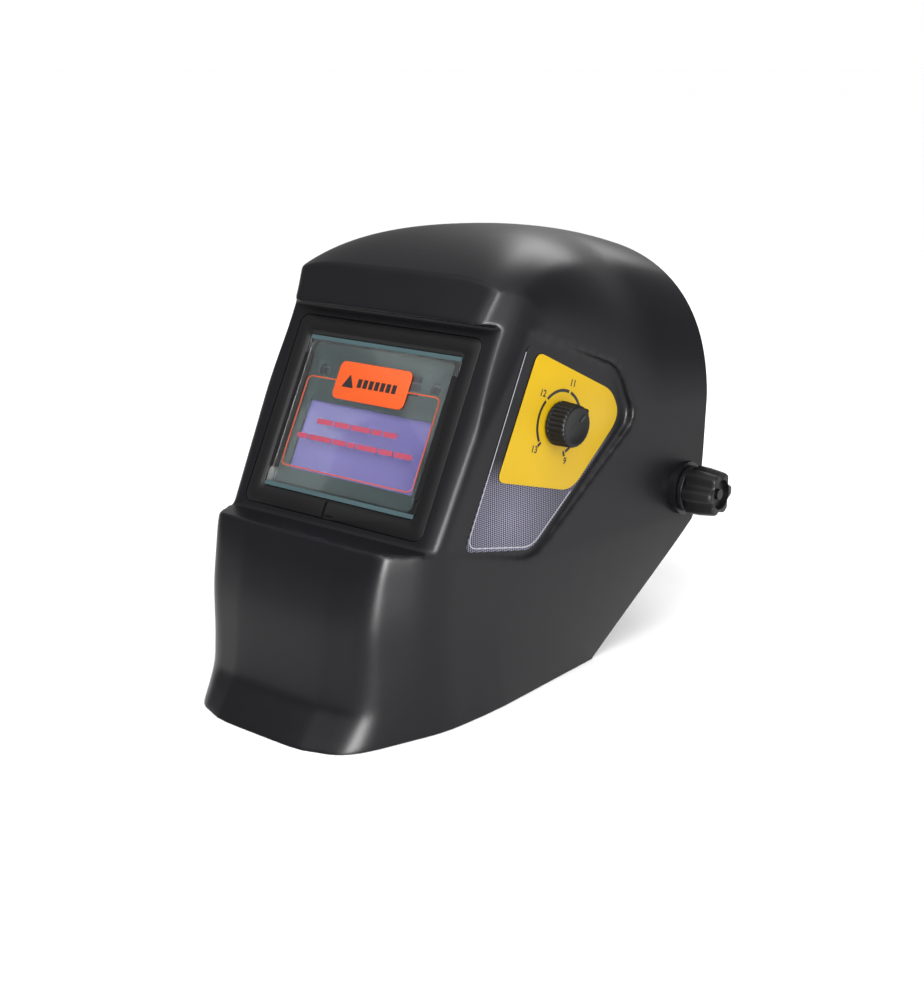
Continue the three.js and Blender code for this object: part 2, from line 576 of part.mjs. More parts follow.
// Lead from the potentiometer to the side of the cartridge, held at both ends
function makeLead() {
  const out = new THREE.Vector3(dial.along, dial.height, -wall - gap * 2 - pot.deep).applyMatrix4(panelMatrix);
  const inward = new THREE.Vector3(0, 0, -1).transformDirection(panelMatrix);
  const end = new THREE.Vector3(cartridge.width / 2 - 2.4, lead.up, lead.deep).applyMatrix4(intoWindow);
  const route = [out, out.clone().addScaledVector(inward, 5)];
  const beside = cartridge.width / 2 + pocketWall + leadClear;
  route.push(new THREE.Vector3(beside + 1.5, 65, 0.5), new THREE.Vector3(beside, 48, 0.5));
  route.push(new THREE.Vector3(beside + 1.5, 30, 1));
  route.push(end.clone().add(new THREE.Vector3(11, 2.5, 0)), end.clone().add(new THREE.Vector3(6, 0, 0)), end);
  const section = new THREE.Shape();
  section.absarc(0, 0, lead.radius, 0, Math.PI * 2);
  const geometry = new THREE.ExtrudeGeometry(section, {
    steps: 22, curveSegments: 4, bevelEnabled: false, extrudePath: new THREE.CatmullRomCurve3(route),
  });
  add(helmet, 'shade_lead', solid(geometry), finishes.plastic);
}

// ---- headgear ----
// A flat strap on edge along a plan path; heightAt gives the middle of the strap
function strip(path, heightAt, height, thick) {
  const rings = path.map((p, k) => {
    const before = path[Math.max(0, k - 1)];
    const after = path[Math.min(path.length - 1, k + 1)];
    const along = after.clone().sub(before).normalize();
    const side = new THREE.Vector2(along.y, -along.x).multiplyScalar(thick / 2);
    const z = heightAt(p);
    return [[1, 1], [1, -1], [-1, -1], [-1, 1]].map(([s, v]) =>
      new THREE.Vector3(p.x + side.x * s, p.y + side.y * s, z + v * height / 2));
  });
  return loft(rings);
}

function ovalPath(half, from, reach, startAngle, endAngle, steps, power = 2) {
  const points = [];
  for (let k = 0; k <= steps; k += 1) {
    const angle = lerp(startAngle, endAngle, k / steps) * rad;
    const c = Math.cos(angle);
    const s = Math.sin(angle);
    points.push(new THREE.Vector2(Math.sign(c) * half * Math.abs(c) ** (2 / power),
      from + Math.sign(s) * reach * Math.abs(s) ** (2 / power)));
  }
  return points;
}

const bandLine = headHalf + bandThick / 2;
const bandHeightAt = (p) => bandMiddle + foreheadRise * THREE.MathUtils.smoothstep(-p.y, -ringStraightFrom, -headFront);
const rearLine = headHalf - gap - rearStrap.thick / 2;
const rearDropAt = (y) => rearStrap.middle - rearStrap.drop * THREE.MathUtils.smoothstep(y, ringStraightTo, headRear - 4);

function makeHeadBand(holes) {
  const path = [new THREE.Vector2(bandLine, ringStraightTo)];
  path.push(...ovalPath(bandLine, ringStraightFrom, ringStraightFrom - headFront + bandThick / 2, 0, -180, 28));
  path.push(new THREE.Vector2(-bandLine, ringStraightTo));
  let band = strip(path, bandHeightAt, bandHeight, bandThick);
  holes.forEach((hole) => { band = band.subtract(hole); });
  add(helmet, 'head_band', band, finishes.strap);
  const padLine = headHalf - gap - padThick / 2;
  const pad = ovalPath(padLine, ringStraightFrom, ringStraightFrom - headFront - gap - padThick / 2, -18, -162, 20);
  add(helmet, 'sweat_band', strip(pad, bandHeightAt, bandHeight + 5, padThick), finishes.foam);
}

const unitAt = { y: headRear - 4, z: 0 };

function makeRear() {
  unitAt.z = rearDropAt(headRear);
  const inside = { front: unitAt.y - 5, back: unitAt.y + 8 };
  const wide = unit.width;
  const housingBox = solid(new THREE.BoxGeometry(wide, inside.back - inside.front + 2, unit.height))
    .translate([0, (inside.front - 2 + inside.back) / 2, unitAt.z]);
  const room = solid(new THREE.BoxGeometry(wide - 5, inside.back - inside.front + 4, unit.height - 5))
    .translate([0, (inside.front + inside.back + 4) / 2, unitAt.z]);
  const slots = solid(new THREE.BoxGeometry(wide + 8, 8, rearStrap.height + 3)).translate([0, unitAt.y - 1, unitAt.z + 0.6]);
  add(helmet, 'ratchet_housing', housingBox.subtract(room).subtract(slots), finishes.plastic);
  const coverFrom = inside.back + gap;
  const cover = solid(discY(3.4, coverFrom - 2, coverFrom + 9, 0, unitAt.z));
  const lid = solid(new THREE.BoxGeometry(wide, 3, unit.height)).translate([0, coverFrom + 1.5, unitAt.z]);
  add(helmet, 'ratchet_cover', lid.subtract(cover), finishes.plastic);
  const knobFrom = coverFrom + 3 + gap;
  let knob = solid(plate(ribbed(ratchetKnob.radius, 16, 1.6), 0, ratchetKnob.tall));
  knob = knob.subtract(solid(disc(pinion.hub + gap, -1, ratchetKnob.tall - 3, 24)));
  knob = knob.rotate([-90, 0, 0]).translate([0, knobFrom, unitAt.z]);
  add(helmet, 'ratchet_knob', knob, finishes.plastic);
  const gear = solid(plate(ribbed(pinion.radius, pinion.teeth, 0.9), 0, 7))
    .add(solid(disc(pinion.hub, 0, knobFrom + ratchetKnob.tall - unitAt.y, 24)))
    .rotate([-90, 0, 0]).translate([0, unitAt.y - 4, unitAt.z]);
  add(helmet, 'ratchet_pinion', gear, finishes.strap);
  [-1, 1].forEach((side) => {
    const path = [new THREE.Vector2(side * rearLine, rearStrap.from)];
    const curve = ovalPath(rearLine, ringStraightTo, unitAt.y - ringStraightTo, 0, 66, 16, 2.6)
      .map((p) => new THREE.Vector2(p.x * side, p.y));
    path.push(...curve);
    const last = path[path.length - 1];
    let strap = strip(path, (p) => rearDropAt(p.y), rearStrap.height, rearStrap.thick);
    const tongueTo = -side * tongue.reach;
    const tongueFrom = last.x + side * 1.5;
    const rackAt = pinion.radius + 0.5;
    const bar = new THREE.BoxGeometry(Math.abs(tongueTo - tongueFrom), rearStrap.thick, tongue.height);
    const rack = solid(bar)
      .translate([(tongueTo + tongueFrom) / 2, last.y, unitAt.z + side * (rackAt + tongue.height / 2)]);
      let teeth = solid(new THREE.BoxGeometry(0.01, 0.01, 0.01)).translate([0, 0, 500]);
    for (let k = 0; k < tongue.teeth; k += 1) {
      const notch = solid(new THREE.CylinderGeometry(tongue.tooth, tongue.tooth, 8, 3).rotateY(side > 0 ? Math.PI : 0));
      teeth = teeth.add(notch.translate([side * (k * pinion.pitch - 20), last.y, unitAt.z + side * rackAt]));
    }
    strap = strap.add(rack.subtract(teeth));
    add(helmet, side > 0 ? 'rear_strap_left' : 'rear_strap_right', strap, finishes.strap);
  });
  const padReach = inside.front - gap - padThick - ringStraightTo;
  const padPath = ovalPath(rearLine - 5, ringStraightTo, padReach, 62, 118, 14, 2.6);
  add(helmet, 'rear_pad', strip(padPath, () => unitAt.z, unit.height + 2, padThick), finishes.foam);
}

function discY(radius, from, to, x, z, sides = 24) {
  return new THREE.CylinderGeometry(radius, radius, to - from, sides).translate(x, (from + to) / 2, z);
}

// Everything on one side pivot, from the knob outside to the bolt head inside
function makePivot(side) {
  const hand = side < 0 ? 'right' : 'left';
  const collarFrom = pivotFace + gap;
  const collar = solid(discX(tensionKnob.collar, side * collarFrom, side * (collarFrom + tensionKnob.collarThick), pivot.y, pivot.z, 28))
    .subtract(solid(discX(boss.bore, side * 90, side * 140, pivot.y, pivot.z)));
  add(helmet, `friction_washer_${hand}`, collar, finishes.trim);

  const knobFrom = collarFrom + tensionKnob.collarThick + gap;
  const lobes = [];
  for (let k = 0; k < 48; k += 1) {
    const angle = Math.PI * 2 * k / 48;
    const r = tensionKnob.waist + (tensionKnob.radius - tensionKnob.waist) * Math.min(1, 0.5 + 0.85 * Math.cos(angle * 6));
    lobes.push(new THREE.Vector2(Math.cos(angle) * r, Math.sin(angle) * r));
  }
  const knobShape = plate(new THREE.Shape(lobes), 0, tensionKnob.long).rotateY(side * Math.PI / 2)
    .translate(side * knobFrom, pivot.y, pivot.z);
  const knobEnd = knobFrom + tensionKnob.long;
  let knob = solid(knobShape);
  const dish = solid(discX(tensionKnob.recess, side * (knobEnd - 3), side * (knobEnd + 1), pivot.y, pivot.z, 28))
    .subtract(solid(discX(3.4, side * (knobEnd - 4), side * (knobEnd - 0.8), pivot.y, pivot.z, 24)));
  knob = knob.subtract(dish);
  knob = knob.subtract(solid(discX(bolt.radius + gap, side * (knobFrom - 1), side * (knobEnd - 5), pivot.y, pivot.z, 28)));
  add(helmet, `tension_knob_${hand}`, knob, finishes.plastic);

  const armFrom = headHalf + bandThick + gap;
  const armTo = armFrom + arm.thick;
  const headFrom = armFrom - gap - bolt.headThick;
  const shank = solid(discX(bolt.radius, side * headFrom, side * (knobEnd - 5.5), pivot.y, pivot.z, 28))
    .add(solid(discX(bolt.head, side * headFrom, side * (armFrom - gap), pivot.y, pivot.z, 32)));
  add(helmet, `pivot_bolt_${hand}`, shank, finishes.metal);

  const outline = new THREE.Shape();
  const reach = bandMiddle + bandHeight / 2;
  outline.moveTo(pivot.y + arm.width / 2, pivot.z);
  outline.absarc(pivot.y, pivot.z, arm.width / 2, 0, -Math.PI * 0.86, true);
  outline.lineTo(armRivets.y - 9, bandMiddle - 5);
  outline.lineTo(armRivets.y - 9, reach - 2);
  outline.lineTo(armRivets.y + 8, reach - 2);
  outline.lineTo(armRivets.y + 9, pivot.z + arm.width / 2 + 2);
  outline.lineTo(pivot.y, pivot.z + arm.width / 2);
  outline.absarc(pivot.y, pivot.z, arm.width / 2, Math.PI / 2, 0, true);
  let armBody = extrudeAcross(outline, arm.thick / 2).translate([side * (armFrom + armTo) / 2, 0, 0]);
  const bore = solid(discX(boss.bore, side * 60, side * 130, pivot.y, pivot.z));
  armBody = armBody.subtract(bore);
  const holes = [];
  const addRivet = (name, y, z, outer) => {
    const inner = headHalf - gap;
    const hole = solid(discX(rivet.shaft + gap, side * (headHalf - 4), side * (outer + 1), y, z, 16));
    const shaft = solid(discX(rivet.shaft, side * (headHalf - 1), side * (outer + 1.2), y, z, 16))
      .add(solid(discX(rivet.head, side * (inner - 1.2), side * inner, y, z, 18)))
      .add(solid(discX(rivet.head, side * (outer + gap), side * (outer + gap + rivet.headThick), y, z, 18)));
    add(helmet, `${name}_${hand}`, shaft, finishes.metal);
    holes.push(hole);
    return hole;
  };
  armBody = armBody.subtract(addRivet('arm_rivet', armRivets.y, bandMiddle, armTo));
  add(helmet, `pivot_arm_${hand}`, armBody, finishes.strap);

  // Limits of the tilt: a finger that turns with the arm between two pegs on the fixed spacer
  const fingerFrom = armTo + gap;
  const finger = new THREE.Shape();
  finger.absarc(0, 0, 12, 20 * rad, 340 * rad);
  finger.lineTo(tilt.reach, -tilt.finger);
  finger.lineTo(tilt.reach, tilt.finger);
  const stop = extrudeAcross(finger, tilt.thick / 2).rotate([tilt.fingerAt, 0, 0])
    .translate([side * (fingerFrom + tilt.thick / 2), pivot.y, pivot.z]).subtract(bore);
  add(helmet, `tilt_stop_${hand}`, stop, finishes.plastic);
  const flangeFrom = fingerFrom + tilt.thick + gap;
  const spacerTo = pivotFace - boss.thick - gap;
  let spacer = solid(discX(13, side * flangeFrom, side * spacerTo, pivot.y, pivot.z, 32))
    .add(solid(discX(tilt.reach, side * flangeFrom, side * (flangeFrom + 2.6), pivot.y, pivot.z, 28))).subtract(bore);
  [tilt.low - tilt.room, tilt.high + tilt.room].forEach((degrees) => {
    const angle = (tilt.fingerAt + degrees) * rad;
    const y = pivot.y + Math.cos(angle) * tilt.pegAt;
    const z = pivot.z + Math.sin(angle) * tilt.pegAt;
    spacer = spacer.add(solid(discX(tilt.peg, side * (flangeFrom - tilt.thick - gap + 0.1), side * (flangeFrom + 1), y, z, 16)));
  });
  add(helmet, `pivot_spacer_${hand}`, spacer, finishes.plastic);
  return { addRivet, holes, hand, side };
}


function makeCrown(pivots) {
  const holes = [];
  const studHoles = [-1, 1].map((side) => solid(disc(2.3, 0, crown.top + 20, 16, side * crown.studAcross, crown.at)));
  pivots.forEach((one) => {
    const layer = one.side > 0 ? crown.thick + gap : 0;
    const out = headHalf + bandThick + gap + crown.thick / 2;
    const foot = bandMiddle - bandHeight / 2 + 6;
    const path = [new THREE.Vector2(out, foot), new THREE.Vector2(out, -22)];
    for (let k = 0; k <= 20; k += 1) {
      const angle = crown.past * k / 20 * rad;
      const rise = crown.top + layer;
      const width = out + layer * Math.sin(angle);
      path.push(new THREE.Vector2(width * Math.cos(angle), rise * Math.sin(angle)));
    }
    const rings = path.map((p, k) => {
      const before = path[Math.max(0, k - 1)];
      const after = path[Math.min(path.length - 1, k + 1)];
      const along = after.clone().sub(before).normalize();
      const side = new THREE.Vector2(along.y, -along.x).multiplyScalar(crown.thick / 2);
      const half = crown.width / 2;
      return [[1, 1], [1, -1], [-1, -1], [-1, 1]].map(([s, v]) =>
        new THREE.Vector3((p.x + side.x * s) * one.side, crown.at + v * half, p.y + side.y * s));
    });
    let strap = loft(rings);
    const outer = headHalf + bandThick + gap + crown.thick;
    strap = strap.subtract(one.addRivet('crown_rivet', crown.at, bandMiddle, outer));
    studHoles.forEach((hole) => { strap = strap.subtract(hole); });
    add(helmet, `crown_strap_${one.hand}`, strap, finishes.strap);
    holes.push(...one.holes);
  });
  [-1, 1].forEach((side) => {
    const drop = crown.top * (1 - Math.sqrt(1 - (crown.studAcross / (headHalf + 3)) ** 2));
    const low = crown.top - drop - crown.thick / 2;
    const high = low + crown.thick * 2 + gap;
    const x = side * crown.studAcross;
    const stud = solid(disc(2, low - 1.4, high + 1.6, 16, x, crown.at))
      .add(solid(disc(4, low - 2.6, low - 0.7, 20, x, crown.at)))
      .add(solid(disc(4, high + 0.7, high + 2.4, 20, x, crown.at)));
    add(helmet, `crown_stud_${side > 0 ? 'left' : 'right'}`, stud, finishes.plastic);
  });
  return holes;
}

add(helmet, 'shell', makeShell(), finishes.shell);
makeWindow();
makePanelPieces();
makeLead();
const pivots = [1, -1].map(makePivot);
makeHeadBand(makeCrown(pivots));
makeRear();

// Rest the lower edge on Z = 0 and centre the whole object over the origin
const model = new THREE.Group();
model.add(helmet);
model.updateMatrixWorld(true);
const extent = new THREE.Box3().setFromObject(model, true);
helmet.position.set(0, -(extent.min.y + extent.max.y) / 2, -lowerEdge);

export default model;
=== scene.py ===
import json
import math
import bmesh
import bpy
from mathutils import Matrix, Vector


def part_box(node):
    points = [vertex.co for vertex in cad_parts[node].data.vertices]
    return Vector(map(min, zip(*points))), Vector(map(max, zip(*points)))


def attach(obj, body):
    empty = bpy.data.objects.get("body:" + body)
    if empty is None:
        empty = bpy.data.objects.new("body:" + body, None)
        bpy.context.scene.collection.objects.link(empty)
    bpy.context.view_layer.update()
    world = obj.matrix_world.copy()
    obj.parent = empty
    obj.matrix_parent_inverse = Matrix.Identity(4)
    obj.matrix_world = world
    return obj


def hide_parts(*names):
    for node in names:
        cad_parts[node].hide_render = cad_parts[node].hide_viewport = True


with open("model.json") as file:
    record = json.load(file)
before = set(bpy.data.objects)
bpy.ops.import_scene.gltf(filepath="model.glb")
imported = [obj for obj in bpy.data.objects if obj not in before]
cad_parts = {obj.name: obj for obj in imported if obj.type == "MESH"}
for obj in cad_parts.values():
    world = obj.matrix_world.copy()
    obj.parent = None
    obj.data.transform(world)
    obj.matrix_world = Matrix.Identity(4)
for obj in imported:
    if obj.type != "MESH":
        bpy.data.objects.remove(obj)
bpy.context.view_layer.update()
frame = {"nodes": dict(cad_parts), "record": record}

scene = bpy.context.scene
mm = 0.001

# Helmet frame: millimetres from the middle of the cover lens face, +Z up, facing -Y
lean = math.radians(27.9)
lensOut = Vector((0, -math.cos(lean), math.sin(lean)))
lensUp = Vector((0, math.sin(lean), math.cos(lean)))
lensLow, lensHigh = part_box("front_cover_lens")
home = (lensLow + lensHigh) / 2 + lensOut * 0.5 * mm
windowPlace = Matrix.Translation(home) @ Matrix((
    (1, lensUp.x, lensOut.x, 0), (0, lensUp.y, lensOut.y, 0), (0, lensUp.z, lensOut.z, 0), (0, 0, 0, 1)))

panel = {"x": 80, "y": -29, "toe": math.radians(5.4)}   # plane of the side label
panelOut = Vector((math.cos(panel["toe"]), -math.sin(panel["toe"]), 0))
panelBack = Vector((math.sin(panel["toe"]), math.cos(panel["toe"]), 0))
panelPlace = Matrix.Translation(home + Vector((panel["x"], panel["y"], 0)) * mm) @ Matrix((
    (panelBack.x, 0, panelOut.x, 0), (panelBack.y, 0, panelOut.y, 0), (0, 1, 0, 0), (0, 0, 0, 1)))
helmetPlace = Matrix.Translation(home)


# ---------- making meshes ----------

def deselect():
    bpy.ops.object.select_all(action='DESELECT')


def pick(piece):
    deselect()
    piece.select_set(True)
    bpy.context.view_layer.objects.active = piece


def apply(piece, kind, **values):
    pick(piece)
    modifier = piece.modifiers.new(kind.title(), kind)
    for key, value in values.items():
        setattr(modifier, key, value)
    bpy.ops.object.modifier_apply(modifier=modifier.name)
    return piece


def newPiece(name, points, faces, place=helmetPlace):
    # points in millimetres in the frame that place stands for
    data = bpy.data.meshes.new(name)
    data.from_pydata([place @ (Vector(p) * mm) for p in points], [], faces)
    piece = bpy.data.objects.new(name, data)
    scene.collection.objects.link(piece)
    outward(piece)
    return piece


def outward(piece):
    work = bmesh.new()
    work.from_mesh(piece.data)
    bmesh.ops.remove_doubles(work, verts=work.verts, dist=1e-7)
    bmesh.ops.recalc_face_normals(work, faces=work.faces)
    if work.calc_volume() < 0:
        bmesh.ops.reverse_faces(work, faces=work.faces)
    work.to_mesh(piece.data)
    work.free()


def smooth(piece, angle=35):
    pick(piece)
    bpy.ops.object.shade_smooth_by_angle(angle=math.radians(angle))
    return piece


def loft(name, rings, place=helmetPlace, ends=True, loop=False):
    # rings hold the same number of points; loop joins the last ring to the first
    count = len(rings[0])
    points = [p for ring in rings for p in ring]
    faces = []
    rows = len(rings) if loop else len(rings) - 1
    for row in range(rows):
        low = row * count
        high = ((row + 1) % len(rings)) * count
        for k in range(count):
            after = (k + 1) % count
            faces.append((low + k, low + after, high + after, high + k))
    if ends and not loop:
        faces.append(tuple(range(count)))
        faces.append(tuple(range((len(rings) - 1) * count, len(rings) * count)))
    return newPiece(name, points, faces, place)


def cut(piece, tool, operation='DIFFERENCE'):
    apply(piece, 'BOOLEAN', object=tool, operation=operation, solver='MANIFOLD')
    data = tool.data
    bpy.data.objects.remove(tool)
    bpy.data.meshes.remove(data)
    return piece


def joined(pieces):
    deselect()
    for piece in pieces:
        piece.select_set(True)
    bpy.context.view_layer.objects.active = pieces[0]
    if len(pieces) > 1:
        bpy.ops.object.join()
    return pieces[0]


def bevelled(piece, width, segments=3, angle=32):
    return apply(piece, 'BEVEL', width=width * mm, segments=segments, limit_method='ANGLE',
                 angle_limit=math.radians(angle), use_clamp_overlap=True)


def bend(before, corner, after, reach, steps):
    # quadratic rounding of one corner
    corner = Vector(corner)
    toBefore = Vector(before) - corner
    toAfter = Vector(after) - corner
    start = corner + toBefore.normalized() * min(reach, toBefore.length * 0.48)
    end = corner + toAfter.normalized() * min(reach, toAfter.length * 0.48)
    shares = [k / steps for k in range(steps + 1)]
    return [start * (1 - t) ** 2 + corner * 2 * t * (1 - t) + end * t * t for t in shares]


def rounded(corners, radii, steps=8):
    points = []
    for k, corner in enumerate(corners):
        if radii[k] > 0:
            points += bend(corners[k - 1], corner, corners[(k + 1) % len(corners)], radii[k], steps)
        else:
            points.append(Vector(corner))
    return points


def inset(points, amount):
    # moves a closed outline drawn anticlockwise inwards
    moved = []
    for k, p in enumerate(points):
        along = (points[(k + 1) % len(points)] - points[k - 1]).normalized()
        moved.append(Vector((p.x - along.y * amount, p.y + along.x * amount)))
    return moved


def roundRect(width, height, radius, x=0, y=0, steps=6):
    w, h = width / 2, height / 2
    corners = [(x + w, y - h), (x + w, y + h), (x - w, y + h), (x - w, y - h)]
    points = []
    for k, (cx, cy) in enumerate(corners):
        start = -math.pi / 2 + k * math.pi / 2
        mx = cx - math.copysign(radius, cx - x)
        my = cy - math.copysign(radius, cy - y)
        for j in range(steps + 1):
            angle = start + j * math.pi / 2 / steps
            points.append(Vector((mx + math.cos(angle) * radius, my + math.sin(angle) * radius)))
    return points


def plate(name, outline, low, high, place, edge=0.0, segments=2):
    # flat piece with softened front and back edges
    levels = [(low, edge), (low + edge, 0), (high - edge, 0), (high, edge)] if edge else [(low, 0), (high, 0)]
    if edge and segments > 1:
        levels.insert(1, (low + edge * 0.3, edge * 0.3))
        levels.insert(-1, (high - edge * 0.3, edge * 0.3))
    rings = [[Vector((p.x, p.y, z)) for p in inset(outline, back)] for z, back in levels]
    return loft(name, rings, place)


def circle(x, y, radius, sides):
    return [Vector((x + math.cos(k * math.tau / sides) * radius, y + math.sin(k * math.tau / sides) * radius))
            for k in range(sides)]


def raised(outline, levels):
    return [[Vector((p.x, p.y, n)) for p in outline] for n in levels]


def heading(path, k):
    return (path[min(k + 1, len(path) - 1)] - path[max(k - 1, 0)]).normalized()


def disc(name, radius, low, high, x, y, place, sides=48):
    return loft(name, raised(circle(x, y, radius, sides), (low, high)), place)


# ---------- materials ----------

def socketGroup(name, inputs, outputs):
    group = bpy.data.node_groups.new(name, 'ShaderNodeTree')
    for label, kind, value in inputs:
        socket = group.interface.new_socket(name=label, in_out='INPUT', socket_type=kind)
        socket.default_value = value
    for label, kind in outputs:
        group.interface.new_socket(name=label, in_out='OUTPUT', socket_type=kind)
    return group, group.nodes.new('NodeGroupInput'), group.nodes.new('NodeGroupOutput')


def mouldedSurface():
    # fine spark-eroded grain with slow changes in tone and gloss
    group, given, result = socketGroup('mouldedSurface', [
        ('Color', 'NodeSocketColor', (0.02, 0.02, 0.02, 1)), ('Roughness', 'NodeSocketFloat', 0.4),
        ('Grain Scale', 'NodeSocketFloat', 1800.0), ('Grain Depth', 'NodeSocketFloat', 0.05),
        ('Wear', 'NodeSocketFloat', 0.2)],
        [('Color', 'NodeSocketColor'), ('Roughness', 'NodeSocketFloat'), ('Normal', 'NodeSocketVector')])
    nodes, link = group.nodes, group.links.new
    place = nodes.new('ShaderNodeTexCoord')
    grain = nodes.new('ShaderNodeTexNoise')
    grain.inputs['Detail'].default_value = 3
    link(place.outputs['Object'], grain.inputs['Vector'])
    link(given.outputs['Grain Scale'], grain.inputs['Scale'])
    bump = nodes.new('ShaderNodeBump')
    bump.inputs['Distance'].default_value = 0.0002
    link(given.outputs['Grain Depth'], bump.inputs['Strength'])
    link(grain.outputs['Fac'], bump.inputs['Height'])
    cloud = nodes.new('ShaderNodeTexNoise')
    cloud.inputs['Scale'].default_value = 22
    cloud.inputs['Detail'].default_value = 4
    link(place.outputs['Object'], cloud.inputs['Vector'])
    tone = nodes.new('ShaderNodeMapRange')
    tone.inputs['To Min'].default_value = 0.88
    tone.inputs['To Max'].default_value = 1.12
    link(cloud.outputs['Fac'], tone.inputs['Value'])
    shade = nodes.new('ShaderNodeMixRGB')
    shade.blend_type = 'MULTIPLY'
    shade.inputs['Fac'].default_value = 1
    link(given.outputs['Color'], shade.inputs['Color1'])
    link(tone.outputs['Result'], shade.inputs['Color2'])
    # edges rubbed a little lighter and smoother
    shape = nodes.new('ShaderNodeNewGeometry')
    edge = nodes.new('ShaderNodeMapRange')
    edge.inputs['From Min'].default_value = 0.54
    edge.inputs['From Max'].default_value = 0.66
    link(shape.outputs['Pointiness'], edge.inputs['Value'])
    rubbed = nodes.new('ShaderNodeMath')
    rubbed.operation = 'MULTIPLY'
    link(edge.outputs['Result'], rubbed.inputs[0])
    link(given.outputs['Wear'], rubbed.inputs[1])
    worn = nodes.new('ShaderNodeMixRGB')
    worn.inputs['Color2'].default_value = (0.16, 0.16, 0.165, 1)
    link(rubbed.outputs['Value'], worn.inputs['Fac'])
    link(shade.outputs['Color'], worn.inputs['Color1'])
    spread = nodes.new('ShaderNodeMapRange')
    spread.inputs['To Min'].default_value = -0.04
    spread.inputs['To Max'].default_value = 0.05
    link(cloud.outputs['Fac'], spread.inputs['Value'])
    rough = nodes.new('ShaderNodeMath')
    rough.use_clamp = True
    link(given.outputs['Roughness'], rough.inputs[0])
    link(spread.outputs['Result'], rough.inputs[1])
    link(worn.outputs['Color'], result.inputs['Color'])
    link(rough.outputs['Value'], result.inputs['Roughness'])
    link(bump.outputs['Normal'], result.inputs['Normal'])
    return group


moulded = mouldedSurface()
finishes = {}


def plainMaterial(name):
    material = bpy.data.materials.new(name)
    material.use_nodes = True
    finishes[name] = material
    tree = material.node_tree
    return material, tree.nodes, tree.links.new, tree.nodes['Principled BSDF']


def mouldedMaterial(name, color, roughness, grain=1800.0, depth=0.05, wear=0.2, metallic=0.0, coat=0.0):
    material, nodes, link, shader = plainMaterial(name)
    surface = nodes.new('ShaderNodeGroup')
    surface.node_tree = moulded
    for label, value in (('Color', (*color, 1)), ('Roughness', roughness), ('Grain Scale', grain),
                         ('Grain Depth', depth), ('Wear', wear)):
        surface.inputs[label].default_value = value
    link(surface.outputs['Color'], shader.inputs['Base Color'])
    link(surface.outputs['Roughness'], shader.inputs['Roughness'])
    link(surface.outputs['Normal'], shader.inputs['Normal'])
    shader.inputs['Metallic'].default_value = metallic
    shader.inputs['Coat Weight'].default_value = coat
    shader.inputs['Coat Roughness'].default_value = 0.1
    shader.inputs['Specular IOR Level'].default_value = 0.2
    return material


def makeMaterials():
    mouldedMaterial('shellPlastic', (0.0046, 0.0042, 0.0056), 0.33, 1500.0, 0.08, 0.04)
    mouldedMaterial('trimPlastic', (0.0048, 0.0048, 0.0055), 0.38, 1900.0, 0.06, 0.04)
    mouldedMaterial('knobPlastic', (0.0048, 0.0048, 0.0056), 0.42, 2200.0, 0.08, 0.12)
    mouldedMaterial('strapPlastic', (0.010, 0.010, 0.011), 0.5, 1600.0, 0.1, 0.1)
    mouldedMaterial('casePlastic', (0.02, 0.02, 0.022), 0.55, 1500.0, 0.12, 0.1)
    mouldedMaterial('filterFrame', (0.075, 0.11, 0.115), 0.3, 900.0, 0.02, 0.0)
    mouldedMaterial('orangeTab', (0.62, 0.088, 0.018), 0.3, 1200.0, 0.02, 0.0)
    mouldedMaterial('printRed', (0.36, 0.06, 0.10), 0.4, 1200.0, 0.02, 0.0)
    mouldedMaterial('lensEdge', (0.06, 0.10, 0.11), 0.22, 1200.0, 0.02, 0.0)
    mouldedMaterial('printDark', (0.02, 0.018, 0.018), 0.4, 1200.0, 0.02, 0.0)
    mouldedMaterial('labelYellow', (0.46, 0.29, 0.004), 0.38, 1400.0, 0.03, 0.0)
    mouldedMaterial('silverInk', (0.36, 0.36, 0.40), 0.3, 1500.0, 0.02, 0.0, 0.5)
    mouldedMaterial('boardGreen', (0.02, 0.16, 0.06), 0.45, 700.0, 0.1, 0.0)
    mouldedMaterial('leadRubber', (0.012, 0.012, 0.012), 0.5, 1500.0, 0.1, 0.0)
    metal = mouldedMaterial('zincMetal', (0.56, 0.57, 0.58), 0.28, 900.0, 0.05, 0.3, 1.0)
    metal.node_tree.nodes['Principled BSDF'].inputs['Anisotropic'].default_value = 0.3
    lensGlass('lensClear', (0.90, 0.97, 0.955), 1.0, 0.03)
    lensGlass('filmClear', (0.97, 0.985, 0.98), 1.0, 0.06)
    violetFilter()
    solarPanel()
    stickerHatch()
    foamCloth()


def lensGlass(name, color, transmission, roughness):
    material, nodes, link, shader = plainMaterial(name)
    place = nodes.new('ShaderNodeTexCoord')
    haze = nodes.new('ShaderNodeTexNoise')
    haze.inputs['Scale'].default_value = 30
    link(place.outputs['Object'], haze.inputs['Vector'])
    spread = nodes.new('ShaderNodeMapRange')
    spread.inputs['To Min'].default_value = roughness * 0.6
    spread.inputs['To Max'].default_value = roughness * 1.6
    link(haze.outputs['Fac'], spread.inputs['Value'])
    link(spread.outputs['Result'], shader.inputs['Roughness'])
    shader.inputs['Base Color'].default_value = (*color, 1)
    shader.inputs['Transmission Weight'].default_value = transmission
    shader.inputs['IOR'].default_value = 1.49


